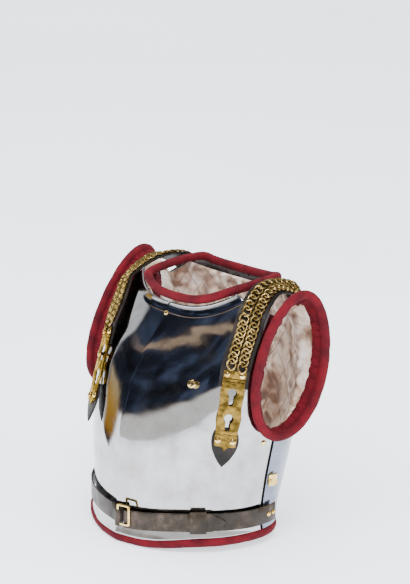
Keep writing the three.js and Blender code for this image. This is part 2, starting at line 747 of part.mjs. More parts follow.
// The left half is folded round the buckle's inner bar, and its pointed end lies back on it.
function beltLeft() {
  const { half, thick } = BELT;
  const from = sAtBelt(BUCKLE.x);
  const base = swept(beltFrames("left", from), slab(half, 0, thick));
  const low = thick + UPPER.gap;
  const pointed = (f) => half * Math.min(1, (1 - f) * 6 + 0.08);
  const upper = beltBand(from, sAtBelt(UPPER.end), BELT_STEPS, (f) => slab(pointed(f), low, low + thick));
  const folded = slab(half, UPPER.tuck, low + thick - UPPER.tuck);
  const fold = beltBand(from + UPPER.fold[0], from + UPPER.fold[1], 2, () => folded);
  return joined(base, upper, fold);
}

const beltRight = () => swept(beltFrames("right", sAtBelt(BELT_RIGHT_FROM)), slab(BELT.half, 0, BELT.thick));

// A leather loop that slides on the doubled part of the belt.
function beltKeeper() {
  const { clear, wall: grow, under, beyond } = KEEPER;
  const [from, to] = [sAtBelt(KEEPER.from), sAtBelt(KEEPER.to)];
  const [half, top] = [BELT.half + clear, 2 * BELT.thick + UPPER.gap + clear];
  const outside = beltBand(from, to, 2, () => slab(half + grow, under[0], top + grow));
  return cut(outside, beltBand(from - beyond, to + beyond, 2, () => slab(half, under[1], top)));
}

// A rectangle with rounded corners, by its half sides.
function roundedBox(a, b, r) {
  const path = new THREE.Shape();
  path.moveTo(-a + r, -b);
  path.lineTo(a - r, -b);
  path.quadraticCurveTo(a, -b, a, -b + r);
  path.lineTo(a, b - r);
  path.quadraticCurveTo(a, b, a - r, b);
  path.lineTo(-a + r, b);
  path.quadraticCurveTo(-a, b, -a, b - r);
  path.lineTo(-a, -b + r);
  path.quadraticCurveTo(-a, -b, -a + r, -b);
  return path;
}

// The buckle: a rectangular brass frame that stands over the belt.
function buckle() {
  const f = beltFrame("front", sAtBelt(BUCKLE.x), BUCKLE.z, 2 * BELT.thick + BUCKLE.clear);
  const { half, high, bar, corner, thick } = BUCKLE;
  const frame = roundedBox(half, high, corner);
  frame.holes = [roundedBox(half - bar, high - bar, corner / 2)];
  const along = f.x.clone().cross(f.y).normalize();
  const basis = new THREE.Matrix4().makeBasis(along, f.x, f.y.clone());
  basis.setPosition(f.p);
  return closed(flat(frame, 0, thick).applyMatrix4(basis));
}

// ---------------------------------------------------------------- rivets, studs and clasps

// A turned piece along a direction from a point, from a profile of radius and height.
function turned(profile, sides, p, direction) {
  const points = profile.map(([r, h]) => new THREE.Vector2(r, h));
  const g = stripped(new THREE.LatheGeometry(points, sides)).rotateX(Math.PI / 2);
  g.applyQuaternion(new THREE.Quaternion().setFromUnitVectors(UP, direction)).translate(p.x, p.y, p.z);
  return closed(g);
}

// A shank from below up to the face of the work.
const shankProfile = (shank, grip) => [[0, -grip], [shank, -grip], [shank, 0]];
const DOME = { width: 0.7, height: 0.75 }; // a dome's shoulder, as shares of its head's radius and rise

const rivet = ({ p, out, grip, head = RIVET.head }) => {
  const { rise, shank, sides } = RIVET;
  const dome = [[head, 0], [head * DOME.width, rise * DOME.height], [0, rise]];
  return turned([...shankProfile(shank, grip), ...dome], sides, p, out);
};

const STUD_FOOT = { wider: 1.6, rise: 1.4 };
const STUD_RIM = { rise: 0.6, width: 0.8 };

const stud = ({ p, out, grip }) => {
  const { head, headRise, neck, neckRise, shank, sides } = STUD;
  const top = neckRise + headRise;
  const foot = [[neck + STUD_FOOT.wider, 0], [neck, STUD_FOOT.rise], [neck, neckRise]];
  const cap = [[head, neckRise + STUD_RIM.rise], [head * STUD_RIM.width, top - STUD_RIM.rise], [0, top]];
  return turned([...shankProfile(shank, grip), ...foot, ...cap], sides, p, out);
};

// A cutter whose flats, not corners, stand at radius r.
const DRILL_REACH = 20;

const drill = ({ p, out }, r) => {
  const corner = r / Math.cos(Math.PI / RIVET.sides);
  const profile = [[0, -DRILL_REACH], [corner, -DRILL_REACH], [corner, DRILL_REACH], [0, DRILL_REACH]];
  return turned(profile, RIVET.sides, p, out);
};

// A place on the breastplate for a fastener that goes through it.
const THROUGH_BREAST = BREAST_THICK + 1 + GAP;
const breastSpot = (s, z, head) => {
  return { p: skin("front", s, z, GAP), out: normalAt("front", s, z), grip: THROUGH_BREAST, head };
};

// A place on a strap's brass plate.
const strapSpot = (route, a, x) => {
  const f = route.frameAt(a);
  const { head, grip } = STRAP_RIVET;
  return { p: placed(f, x, STRAP.thick + KEY_PLATE.thick + 2 * STRAP.clear), out: f.y, grip, head };
};

// A place on the end of a belt half, over the backplate.
const BELT_RIVETS = [0.95, 0.885];
const BEYOND_BELT = 1.2; // how far a rivet's shank stands out under the belt

const beltSpot = (name, s) => {
  const side = name === "left" ? 1 : -1;
  const f = beltFrame("back", side * s, beltHeight[name](1), BELT.thick + GAP);
  return { p: f.p, out: f.y, grip: BELT.thick + GAP + BEYOND_BELT };
};

// A side clasp on the backplate whose hook reaches forwards over the slit. The base's and the hook's corners
// run forwards and outwards.
const CLASP = { s: 0.95, z: 100, lift: 1.6, high: 18 };
const CLASP_BASE = [[0, 2.2], [-6, 2.2], [-6, 0], [3.6, 0]];
const CLASP_HOOK = [[3.6, 1.4], [12.5, 1.4], [12.5, 3.6], [1, 3.6]];

const clasp = (side) => {
  const { s, z, lift, high } = CLASP;
  const out = normalAt("back", side * s, z);
  const forward = new THREE.Vector3().crossVectors(UP, out).multiplyScalar(side).normalize();
  const up = forward.clone().cross(out);
  const shape = new THREE.Shape([...CLASP_BASE, ...CLASP_HOOK].map(([a, b]) => new THREE.Vector2(a, b)));
  const g = flat(shape, -high / 2, high);
  const basis = new THREE.Matrix4().makeBasis(forward, out, up);
  basis.setPosition(skin("back", side * s, z, lift));
  return closed(g.applyMatrix4(basis));
};

// ---------------------------------------------------------------- assembly

const pieces = new Map(); // name -> { geometry, material }
const put = (name, geometry, material) => pieces.set(name, { geometry, material });

// Puts a brass fastener in a clear hole through the pieces that it holds.
function fasten(name, make, spot, through) {
  const clear = (make === stud ? STUD.shank : RIVET.shank) + GAP;
  for (const key of through) {
    const piece = pieces.get(key);
    piece.geometry = cut(piece.geometry, drill(spot, clear));
  }
  put(name, make(spot), brass);
}

put("breastplate", plate("front", BREAST_THICK), steel);
put("backplate", plate("back", BACK_THICK), steel);
put("front_lining", lining("front", BREAST_THICK), creamCloth);
put("back_lining", lining("back", BACK_THICK), creamCloth);
put("neck_roll", neckRoll(), redCloth);
put("hem_roll", hemRoll(), redCloth);
put("belt_left", beltLeft(), beltLeather);
put("belt_right", beltRight(), beltLeather);
put("belt_keeper", beltKeeper(), beltLeather);
put("buckle", buckle(), brass);

for (const [name, side] of [["left", 1], ["right", -1]]) {
  const route = strapRoute(name);
  put(`arm_roll_${name}`, armRoll(name), redCloth);
  put(`shoulder_strap_${name}`, strapBacking(route), strapLeather);
  put(`strap_tip_${name}`, strapTip(route), strapLeather);
  put(`key_plate_${name}`, keyPlate(route), brass);
  put(`strap_end_${name}`, strapEnd(route), brass);
  put(`chain_inner_${name}`, chainRow(route, -side * CHAIN.aside), brass);
  put(`chain_outer_${name}`, chainRow(route, side * CHAIN.aside), brass);
  put(`clasp_${name}`, clasp(side), brass);

  const keyPlateName = `key_plate_${name}`;
  const strapName = `shoulder_strap_${name}`;
  for (const [k, x] of [-STRAP_RIVET.aside, STRAP_RIVET.aside].entries()) {
    const spot = (a) => strapSpot(route, a, x);
    fasten(`head_rivet_${name}_${k + 1}`, rivet, spot(RIVET_AT.head), [keyPlateName, strapName]);
    fasten(`foot_rivet_${name}_${k + 1}`, rivet, spot(RIVET_AT.foot), [keyPlateName, `strap_tip_${name}`]);
    const rear = spot(route.length - END_PLATE.long / 2);
    fasten(`rear_rivet_${name}_${k + 1}`, rivet, rear, [`strap_end_${name}`, strapName]);
    fasten(`belt_rivet_${name}_${k + 1}`, rivet, beltSpot(name, BELT_RIVETS[k]), [`belt_${name}`]);
  }
  const { x, z } = STUD_PLACE;
  fasten(`stud_${name}`, stud, breastSpot(side * acrossAt(x, z), z), ["breastplate"]);
  const flank = breastSpot(side * SIDE_RIVET.s, SIDE_RIVET.z, SIDE_RIVET.head);
  fasten(`side_rivet_${name}`, rivet, flank, ["breastplate"]);
}
fasten("neck_rivet", rivet, breastSpot(0, NECK_RIVET.z, NECK_RIVET.head), ["breastplate"]);

const cuirass = new THREE.Group();
cuirass.name = "cuirass";
for (const [name, { geometry, material }] of pieces) {
  const mesh = new THREE.Mesh(geometry, material);
  mesh.name = name;
  cuirass.add(mesh);
}
export default cuirass;
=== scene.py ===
# %% [markdown]
# # A cavalry cuirass
# The armour of a heavy horseman of the nineteenth century: a breastplate with a sharp ridge and a
# plain backplate, both of polished steel over a quilted lining. Red cloth rolls border the neck,
# the armholes and the hem, chains guard the two shoulder straps, and a leather belt closes the
# waist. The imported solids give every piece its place. Here each piece is made again with the
# surface that the eye expects.

# %% Frame
import math

import bmesh
import bpy
import numpy as np
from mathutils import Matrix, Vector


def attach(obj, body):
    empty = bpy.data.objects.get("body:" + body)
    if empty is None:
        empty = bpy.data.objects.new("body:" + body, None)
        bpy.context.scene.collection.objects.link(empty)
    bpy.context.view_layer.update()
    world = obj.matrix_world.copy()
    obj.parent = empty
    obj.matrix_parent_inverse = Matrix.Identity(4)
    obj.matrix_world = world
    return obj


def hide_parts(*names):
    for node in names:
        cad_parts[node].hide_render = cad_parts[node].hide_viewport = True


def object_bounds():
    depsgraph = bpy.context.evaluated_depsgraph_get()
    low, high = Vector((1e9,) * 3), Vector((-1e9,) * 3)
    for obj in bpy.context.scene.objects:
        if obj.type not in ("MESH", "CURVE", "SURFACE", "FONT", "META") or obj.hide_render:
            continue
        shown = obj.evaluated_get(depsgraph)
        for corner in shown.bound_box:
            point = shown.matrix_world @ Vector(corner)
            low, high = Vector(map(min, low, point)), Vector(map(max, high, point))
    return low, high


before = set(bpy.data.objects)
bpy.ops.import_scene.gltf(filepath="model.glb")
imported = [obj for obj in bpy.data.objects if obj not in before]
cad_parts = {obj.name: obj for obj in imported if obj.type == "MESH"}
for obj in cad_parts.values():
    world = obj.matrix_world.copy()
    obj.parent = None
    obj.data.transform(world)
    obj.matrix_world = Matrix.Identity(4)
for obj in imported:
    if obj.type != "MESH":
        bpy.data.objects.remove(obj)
CAD_BOX = [list(corner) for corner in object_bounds()]
print("solids reach from", CAD_BOX[0], "to", CAD_BOX[1])

# %% [markdown]
# ## Camera
# A long lens from the wearer's left front, a little above, as for a catalogue. The picture leaves
# room above the neck, so the camera aims higher than the middle of the armour.

# %% Camera
AZIMUTH = math.radians(47)
ELEVATION = math.radians(16)
DISTANCE = 3.5
LENS = 140.2
AIM = (-0.0081, 0.0509, 0.1564)


def add_camera():
    low, high = np.array(CAD_BOX)
    target = (low + high) / 2 + np.array(AIM)
    level = math.cos(ELEVATION)
    away = np.array([math.sin(AZIMUTH) * level, -math.cos(AZIMUTH) * level, math.sin(ELEVATION)])
    data = bpy.data.cameras.new("catalogue_camera")
    data.lens = LENS
    data.sensor_fit = "VERTICAL"
    data.sensor_height = 36
    data.clip_end = 100
    camera = bpy.data.objects.new("catalogue_camera", data)
    camera.location = target + away * DISTANCE
    camera.rotation_euler = (math.pi / 2 - ELEVATION, 0, AZIMUTH)
    bpy.context.scene.collection.objects.link(camera)
    bpy.context.scene.camera = camera


add_camera()
print("camera:", round(math.degrees(AZIMUTH)), "degrees round,", LENS, "mm lens")

# %% [markdown]
# ## The form of the steel
# Both plates follow one body surface, given by horizontal sections from hem to shoulder: the half
# width at the side seam, the depth of the front ridge, of the seam and of the back, and how sharply
# the front is keeled. Polished steel shows every unevenness, so the sections are blended into
# curves that have no kinks at all.

# %% Sections
SECTIONS = {
    "z": [0, 14, 28, 46, 75, 115, 155, 200, 245, 285, 320, 350, 375, 402],
    "half": [164, 161, 157, 155, 157, 162, 168, 174, 177, 175, 168, 159, 149, 134],
    "front": [-143, -139, -134, -132, -136, -138, -133, -122, -105, -81, -52, -24, 2, 30],
    "side": [18, 18, 18, 19, 21, 24, 28, 33, 38, 43, 48, 52, 56, 61],
    "back": [98, 100, 105, 112, 123, 135, 143, 149, 152, 153, 150, 143, 131, 106],
    "keel": [0.32, 0.32, 0.34, 0.38, 0.42, 0.44, 0.43, 0.42, 0.4, 0.36, 0.3, 0.22, 0.15, 0.1],
}
FRONT_ROUNDNESS = 2.45
BACK_ROUNDNESS = 2.9
MIDDLE_Y = 3.9
HEIGHTS = np.arange(-20.0, 431.0)


def blended(values):
    """A column as a cubic through its rows, sampled each millimetre and smoothed."""
    z = np.array(SECTIONS["z"], float)
    v = np.array(values, float)
    slope = np.gradient(v, z)
    slope[1:-1] = (v[2:] - v[:-2]) / (z[2:] - z[:-2])
    i = np.clip(np.searchsorted(z, HEIGHTS) - 1, 0, len(z) - 2)
    step = z[i + 1] - z[i]
    t = (HEIGHTS - z[i]) / step
    inside = np.clip(t, 0, 1)
    cubic = (2 * inside**3 - 3 * inside**2 + 1) * v[i] + (3 * inside**2 - 2 * inside**3) * v[i + 1]
    cubic += (
        inside**3 - 2 * inside**2 + inside
    ) * step * slope[i] + (inside**3 - inside**2) * step * slope[i + 1]
    cubic += np.where(t < 0, t * step * slope[0], 0) + np.where(t > 1, (t - 1) * step * slope[-1], 0)
    reach = np.arange(-24, 25)
    weight = np.exp(-(reach**2) / (2 * 8.0**2))
    padded = np.concatenate([2 * cubic[0] - cubic[24:0:-1], cubic, 2 * cubic[-1] - cubic[-2:-26:-1]])
    return np.convolve(padded, weight / weight.sum(), "valid")


TABLE = {name: blended(values) for name, values in SECTIONS.items() if name != "z"}


def section(name, z):
    return np.interp(z, HEIGHTS, TABLE[name])


def fullness(face, u, keel):
    if face == "front":
        return np.sqrt(np.clip(1 - keel * u - (1 - keel) * u**FRONT_ROUNDNESS, 0, 1))
    return np.sqrt(np.clip(1 - u**BACK_ROUNDNESS, 0, 1))


def bare(face, s, z, wide=0.0):
    """Points in mm. s runs from -1 at the wearer's right seam over 0 in the middle to 1 at the left seam."""
    s, z = np.broadcast_arrays(np.asarray(s, float), np.asarray(z, float))
    u = 1 - (1 - np.abs(s)) ** 2
    side = section("side", z)
    reach = section(face, z) - side
    y = side + (reach + np.sign(reach) * wide) * fullness(face, u, section("keel", z)) - MIDDLE_Y
    return np.stack([np.sign(s) * u * (section("half", z) + wide), y, z], -1)


def unit(v):
    return v / np.maximum(np.linalg.norm(v, axis=-1, keepdims=True), 1e-9)


def outward(face, s, z):
    s = np.clip(s, -0.985, 0.985)
    across = bare(face, s + 0.004, z) - bare(face, s - 0.004, z)
    up = bare(face, s, np.asarray(z) + 0.5) - bare(face, s, np.asarray(z) - 0.5)
    n = unit(np.cross(across, up))
    return n if face == "front" else -n


def skin(face, s, z, lift=0.0):
    return bare(face, s, z) + outward(face, s, z) * np.asarray(lift, float)[..., None]


def across_at(x, z):
    """The s of a point at the distance x from the middle."""
    return np.sign(x) * (1 - np.sqrt(np.clip(1 - np.abs(x) / section("half", z), 0, 1)))


def depth_at(face, y, z):
    """The s of the point whose depth is y."""
    side = section("side", z)
    wanted = (y - side) / (section(face, z) - side)
    low, high = np.zeros_like(wanted), np.ones_like(wanted)
    for _ in range(40):
        mid = (low + high) / 2
        over = fullness(face, mid, section("keel", z)) > wanted
        low = np.where(over, mid, low)
        high = np.where(over, high, mid)
    return 1 - np.sqrt(1 - low)


print("widest section:", round(2 * TABLE["half"].max(), 1), "mm")

# %% [markdown]
# ## Mesh helpers
# Most pieces are lofts: rows of points that are joined into quads. One helper joins the rows, one
# sweeps an outline along frames, and one turns the result into an object that rides on the cuirass.

# %% Lofts
MM = 0.001


def smooth(t):
    t = np.clip(t, 0, 1)
    return t * t * (3 - 2 * t)


def quads(rows, columns, loop_rows=False, loop_columns=False):
    """Faces of a sheet of points with that many rows and columns."""
    faces = []
    for j in range(rows if loop_rows else rows - 1):
        below, above = j * columns, (j + 1) % rows * columns
        for i in range(columns if loop_columns else columns - 1):
            n = (i + 1) % columns
            faces.append((below + i, below + n, above + n, above + i))
    return faces


def sweep(p, x, y, outline, loop=False):
    """A closed tube: the outline's two coordinates are laid along x and y at every point p."""
    outline = np.asarray(outline, float)
    if outline.ndim == 2:
        outline = np.broadcast_to(outline, (len(p),) + outline.shape)
    points = p[:, None] + x[:, None] * outline[..., :1] + y[:, None] * outline[..., 1:]
    sides = outline.shape[1]
    faces = quads(len(p), sides, loop, True)
    if not loop:
        faces += [tuple(range(sides)), tuple(range((len(p) - 1) * sides, len(p) * sides))[::-1]]
    return points.reshape(-1, 3), faces


print("a sheet of 3 by 3 points has", len(quads(3, 3)), "faces")

# %% Outlines and wires


def circle(r, sides, squash=1.0):
    a = np.arange(sides) * 2 * math.pi / sides
    return np.stack([r * np.cos(a), r * squash * np.sin(a)], -1)


def tangents(p, loop=False):
    if loop:
        return unit(np.roll(p, -1, 0) - np.roll(p, 1, 0))
    return unit(np.gradient(p, axis=0))


def bead(p, up, radius, sides=10, loop=False):
    """A round wire along p; up is any direction that isn't along it."""
    along = tangents(p, loop)
    x = unit(np.cross(along, up))
    return sweep(p, x, np.cross(x, along), circle(radius, sides), loop)


def bar(half, low, high, bevel=0.5):
    """The outline of a flat strip with eased edges."""
    b = bevel
    return [
        (-half, low + b), (-half + b, low), (half - b, low), (half, low + b),
        (half, high - b), (half - b, high), (b - half, high), (-half, high - b),
    ]


print("a wire of 10 sides has an outline of", len(circle(1, 10)), "points")

# %% Pieces


def new_mesh(name, parts, closed=True):
    """Parts are pairs of points in mm and faces."""
    points, faces, start = [], [], 0
    for part_points, part_faces in parts:
        points.append(np.asarray(part_points, float))
        faces += [tuple(int(i) + start for i in face) for face in part_faces]
        start += len(part_points)
    mesh = bpy.data.meshes.new(name)
    mesh.from_pydata((np.concatenate(points) * MM).tolist(), [], faces)
    if closed:
        bm = bmesh.new()
        bm.from_mesh(mesh)
        bmesh.ops.remove_doubles(bm, verts=bm.verts, dist=1e-6)
        bmesh.ops.recalc_face_normals(bm, faces=bm.faces)
        bm.to_mesh(mesh)
        bm.free()
    mesh.shade_smooth()
    return mesh


def piece(name, mesh, material, *nodes):
    """Shows a mesh as a piece that rides on the cuirass and stands for those solids."""
    mesh.materials.clear()
    mesh.materials.append(material)
    obj = bpy.data.objects.new(name, mesh)
    bpy.context.scene.collection.objects.link(obj)
    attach(obj, "root")
    if nodes:
        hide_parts(*nodes)
    return obj


def crease(mesh, degrees=35):
    """Keeps edges sharper than that angle crisp."""
    mesh.set_sharp_from_angle(angle=math.radians(degrees))
    return mesh


# %% [markdown]
# ## Finishes
# Every finish starts from the real stuff. Colours are written as sRGB hex, as a paint chart gives
# them, and one function turns them to the linear values that the renderer adds up.

# %% Finish helpers


def colour(hex_value):
    channels = [int(hex_value[i : i + 2], 16) / 255 for i in (1, 3, 5)]
    return tuple(c / 12.92 if c <= 0.04045 else ((c + 0.055) / 1.055) ** 2.4 for c in channels) + (1.0,)


def node(tree, kind, links=(), **settings):
    """Adds a node. Names of its inputs and of its own settings both work; links are (input, output) pairs."""
    made = tree.nodes.new(kind)
    for key, value in settings.items():
        if hasattr(made, key):
            setattr(made, key, value)
        else:
            made.inputs[key.replace("_", " ")].default_value = value
    for target, source in links:
        tree.links.new(source, made.inputs[target])
    return made


def new_finish(name, base, rough, metallic=0.0):
    material = bpy.data.materials.new(name)
    material.use_nodes = True
    shader = material.node_tree.nodes["Principled BSDF"]
    shader.inputs["Base Color"].default_value = colour(base)
    shader.inputs["Roughness"].default_value = rough
    shader.inputs["Metallic"].default_value = metallic
    return material, material.node_tree, shader


def place(tree, kind="Object"):
    return node(tree, "ShaderNodeTexCoord").outputs[kind]


def noise(tree, vector, size_mm, detail=3.0, rough=0.5):
    made = node(tree, "ShaderNodeTexNoise", [("Vector", vector)])
    made.inputs["Scale"].default_value = 1000 / size_mm
    made.inputs["Detail"].default_value = detail
    made.inputs["Roughness"].default_value = rough
    return made.outputs["Fac"]


def ramp(tree, fac, stops):
    """stops are (position, value or hex colour)."""
    made = node(tree, "ShaderNodeValToRGB", [("Fac", fac)])
    elements = made.color_ramp.elements
    while len(elements) < len(stops):
        elements.new(0.5)
    for element, (position, value) in zip(elements, stops):
        element.position = position
        element.color = colour(value) if isinstance(value, str) else (value, value, value, 1)
    return made.outputs["Color"]


def bump(tree, height, depth_mm, strength=1.0, normal=None):
    made = node(tree, "ShaderNodeBump", [("Height", height)], Strength=strength)
    made.inputs["Distance"].default_value = depth_mm * MM
    if normal is not None:
        tree.links.new(normal, made.inputs["Normal"])
    return made.outputs["Normal"]


print("half-bright grey is", round(colour("#808080")[0], 3), "in linear light")

# %% [markdown]
# ### Polished steel
# The plates were hammered, ground and burnished by hand. Seen close the breastplate isn't a perfect
# mirror: the surface rolls gently over a few centimetres, which bends reflections, and old polish
# has left faint clouds of dullness and fine scratches. The backplate was only brushed, so it is
# greyer and duller.

# %% Steel


def steel_finish(name, dullness, shades):
    material, tree, shader = new_finish(name, shades[1], 0.14, 1.0)
    where = place(tree)
    clouds = noise(tree, where, 38, 5, 0.62)
    dull = ramp(tree, clouds, list(zip((0.3, 0.55, 0.8), dullness)))
    tint = ramp(tree, clouds, list(zip((0.25, 0.55, 0.85), shades)))
    tree.links.new(dull, shader.inputs["Roughness"])
    tree.links.new(tint, shader.inputs["Base Color"])
    rolling = bump(tree, noise(tree, where, 62, 1.5, 0.4), 1.1)
    stretch = node(
        tree, "ShaderNodeMapping", [("Vector", where)], Scale=(1, 1, 0.12), Rotation=(0.6, 0.3, 0.9)
    )
    scratches = bump(tree, noise(tree, stretch.outputs[0], 1.3, 4, 0.7), 0.012, 0.8, rolling)
    tree.links.new(scratches, shader.inputs["Normal"])
    return material


STEEL = steel_finish("burnished_steel", (0.04, 0.08, 0.2), ("#C2C2C3", "#AFAEAE", "#8A8581"))
BACK_STEEL = steel_finish("brushed_back_steel", (0.2, 0.26, 0.38), ("#8E94A2", "#7A808C", "#62666E"))
# Near-black painted shade for the strip behind the side slits.
SLIT_SHADE = new_finish("painted_slit_shade", "#14110F", 0.7)[0]
print("steels:", STEEL.name, BACK_STEEL.name, SLIT_SHADE.name)

# %% [markdown]
# ### Brass
# Cast and filed brass with slow waves from the file, and brown clouds where it isn't rubbed. The
# keyhole and rear plates are darkest, a painted dark reflection of the room; the chain is lighter, and the
# rivets and the buckle are bright.

# %% Brass


def brass_finish(name, bright, dark, rough, dents):
    material, tree, shader = new_finish(name, bright, rough, 1.0)
    where = place(tree)
    stain = noise(tree, where, 11, 2, 0.5)
    tree.links.new(ramp(tree, stain, [(0.38, bright), (0.66, dark)]), shader.inputs["Base Color"])
    shader.inputs["Specular Tint"].default_value = colour("#EFDDB4")
    tree.links.new(ramp(tree, stain, [(0.3, rough), (0.75, rough + 0.2)]), shader.inputs["Roughness"])
    waves = bump(tree, noise(tree, where, 13, 1), 1.5)
    tree.links.new(bump(tree, noise(tree, where, 1.6, 3), 0.05, dents, waves), shader.inputs["Normal"])
    return material


# The plates' brass is darkened as a painted dark reflection of the room; its brown clouds are tone that
# varies at random.
BRASS = brass_finish("cast_brass_painted_dark", "#8C7034", "#52421A", 0.1, 0.12)
RIVET_BRASS = brass_finish("polished_brass", "#F2D58C", "#CDA552", 0.14, 0.3)
CHAIN_BRASS = brass_finish("old_chain_brass", "#D8BC78", "#7E6636", 0.18, 0.3)
print("brasses:", BRASS.name, RIVET_BRASS.name, CHAIN_BRASS.name)

# %% [markdown]
# ### Red wool, quilted linen and leather
# The borders are of fulled wool, dense and matt with a short nap. The lining is glazed linen,
# quilted in long diamonds with dark thread; its lines follow the cloth, so they use the piece's own
# UV map. Its large wrinkles are painted light and shade in the colour, with bump over the pads.
# The belt is harness leather, brown and rubbed; the straps are nearly black.

# %% Wool


def wool_finish():
    material, tree, shader = new_finish("fulled_red_wool", "#7E0F1C", 0.9)
    where = place(tree)
    nap = noise(tree, where, 2.2, 4, 0.7)
    worn = noise(tree, where, 24, 3, 0.55)
    shade = ramp(tree, worn, [(0.3, "#3C040E"), (0.55, "#560613"), (0.8, "#690918")])
    tree.links.new(shade, shader.inputs["Base Color"])
    tree.links.new(bump(tree, nap, 0.35, 0.7), shader.inputs["Normal"])
    shader.inputs["Specular IOR Level"].default_value = 0.25
    shader.inputs["Sheen Weight"].default_value = 0.06
    shader.inputs["Sheen Roughness"].default_value = 0.4
    shader.inputs["Sheen Tint"].default_value = colour("#C8404E")
    return material


WOOL = wool_finish()
print("made", WOOL.name)

# %% Linen
QUILT = {"wide": 46.0, "tall": 66.0}


def cloth_with_painted_folds(tree):
    """The cloth's colour: painted light and shade of folds, pale on the swells and dark in the creases, and
    large patches of painted brown shade.
    """
    where = place(tree)
    swells = node(
        tree, "ShaderNodeTexNoise", [("Vector", where)], Scale=1000 / 34, Detail=1.0, Distortion=1.1
    )
    # Painted light and shade of the folds: pale painted highlights on the swells, dark painted shade in the
    # creases between them.
    painted_fold_light_and_shade = ramp(
        tree, swells.outputs["Fac"],
        [(0.36, "#8E7263"), (0.44, "#C4A896"), (0.54, "#EBD9CA"), (0.64, "#FFF6EC")]
    )
    # Large patches of painted brown shade.
    painted_brown_shade = ramp(
        tree, noise(tree, where, 60, 4, 0.6), [(0.35, "#FFFFFF"), (0.6, "#E6D8C8"), (0.75, "#B09880")]
    )
    mixed = node(tree, "ShaderNodeMix", data_type="RGBA", blend_type="MULTIPLY")
    mixed.inputs[0].default_value = 1.0
    tree.links.new(painted_fold_light_and_shade, mixed.inputs[6])
    tree.links.new(painted_brown_shade, mixed.inputs[7])
    return mixed.outputs[2]


def quilt_finish():
    """The stitched lines of the diamonds, drawn on the cloth's own map."""
    material, tree, shader = new_finish("glazed_linen", "#EADCCB", 0.34)
    uv = node(tree, "ShaderNodeSeparateXYZ", [("Vector", place(tree, "UV"))])
    shade = []
    for sign in (1, -1):
        lean = node(tree, "ShaderNodeMath", [(0, uv.outputs["Y"])], operation="MULTIPLY")
        lean.inputs[1].default_value = sign
        run = node(tree, "ShaderNodeMath", [(0, uv.outputs["X"]), (1, lean.outputs[0])], operation="ADD")
        shade.append(node(tree, "ShaderNodeMath", [(0, run.outputs[0])], operation="PINGPONG"))
        shade[-1].inputs[1].default_value = 0.5
    near = node(
        tree, "ShaderNodeMath", [(0, shade[0].outputs[0]), (1, shade[1].outputs[0])], operation="MINIMUM"
    )
    thread = ramp(tree, near.outputs[0], [(0.0, 0.0), (0.008, 0.0), (0.022, 1.0)])
    # Under the threads lies the cloth with painted light and shade of its folds.
    cloth = cloth_with_painted_folds(tree)
    mixed = node(tree, "ShaderNodeMix", data_type="RGBA")
    tree.links.new(thread, mixed.inputs[0])
    mixed.inputs[6].default_value = colour("#7A6658")
    tree.links.new(cloth, mixed.inputs[7])
    tree.links.new(mixed.outputs[2], shader.inputs["Base Color"])
    weave = bump(tree, noise(tree, place(tree), 1.2, 3), 0.12, 0.5)
    tree.links.new(bump(tree, noise(tree, place(tree), 26, 1.5), 14.0, 0.9, weave), shader.inputs["Normal"])
    shader.inputs["Sheen Weight"].default_value = 0.2
    return material


def plain_linen_finish():
    """The linen of the sleeves, which isn't quilted."""
    material, tree, shader = new_finish("plain_glazed_linen", "#F3E6D4", 0.34)
    # The sleeve linen carries the same painted light and shade of folds.
    cloth = cloth_with_painted_folds(tree)
    tree.links.new(cloth, shader.inputs["Base Color"])
    tree.links.new(bump(tree, noise(tree, place(tree), 24, 1.5), 12.0, 0.9), shader.inputs["Normal"])
    return material


LINEN = quilt_finish()
PLAIN_LINEN = plain_linen_finish()
print("made", LINEN.name, "and", PLAIN_LINEN.name)

# %% Leather


def leather_finish(name, light, middle, dark, rough):
    material, tree, shader = new_finish(name, middle, rough)
    where = place(tree)
    rubbed = noise(tree, where, 26, 5, 0.6)
    tree.links.new(
        ramp(tree, rubbed, [(0.3, dark), (0.52, middle), (0.78, light)]), shader.inputs["Base Color"]
    )
    tree.links.new(ramp(tree, rubbed, [(0.3, rough), (0.7, rough - 0.15)]), shader.inputs["Roughness"])
    shader.inputs["Specular IOR Level"].default_value = 0.22
    grain = node(tree, "ShaderNodeTexVoronoi", [("Vector", where)])
    grain.inputs["Scale"].default_value = 1000 / 1.6
    coarse = bump(tree, rubbed, 0.5, 0.5)
    tree.links.new(bump(tree, grain.outputs["Distance"], 0.15, 0.6, coarse), shader.inputs["Normal"])
    return material


BELT_LEATHER = leather_finish("harness_leather", "#5A4C43", "#30281F", "#191411", 0.42)
STRAP_LEATHER = leather_finish("black_strap_leather", "#3A322D", "#1E1917", "#0F0D0C", 0.5)
print("finishes:", len(bpy.data.materials))

# %% [markdown]
# ## The steel plates
# Each plate is a sheet over the body surface between an inner boundary, up the ridge and round the
# neck, and an outer one, up the side seam and round the armhole. Near the neck the metal turns
# outwards into a collar. The Solidify modifier gives the thickness, and a rolled bead of metal
# stiffens the seams, the armholes and the neck. Behind the open slit at each side stands a
# near-black strip of painted shade, so that the slit looks dark.

# %% Plate outlines
HEM = {"z": 13.5, "arch": 9, "from": 0.1, "to": 0.55}
NECK = {"half": 104, "front": 352, "back": 366, "shoulder": 378, "power": 3.2}
ARM = {"y": 55, "z": 268, "half": 56, "high": 96, "lean": 0.237, "power": 1.2, "turn": 150}
ROWS = {"neck": 0.74, "arm": 0.36}
SEAM = 0.979
THICK = {"front": 3.0, "back": 1.8}


def hem_rise(s):
    return HEM["arch"] * smooth((np.abs(s) - HEM["from"]) / (HEM["to"] - HEM["from"]))


def neck_height(face, x):
    return NECK[face] + (NECK["shoulder"] - NECK[face]) * (np.abs(x) / NECK["half"]) ** NECK["power"]


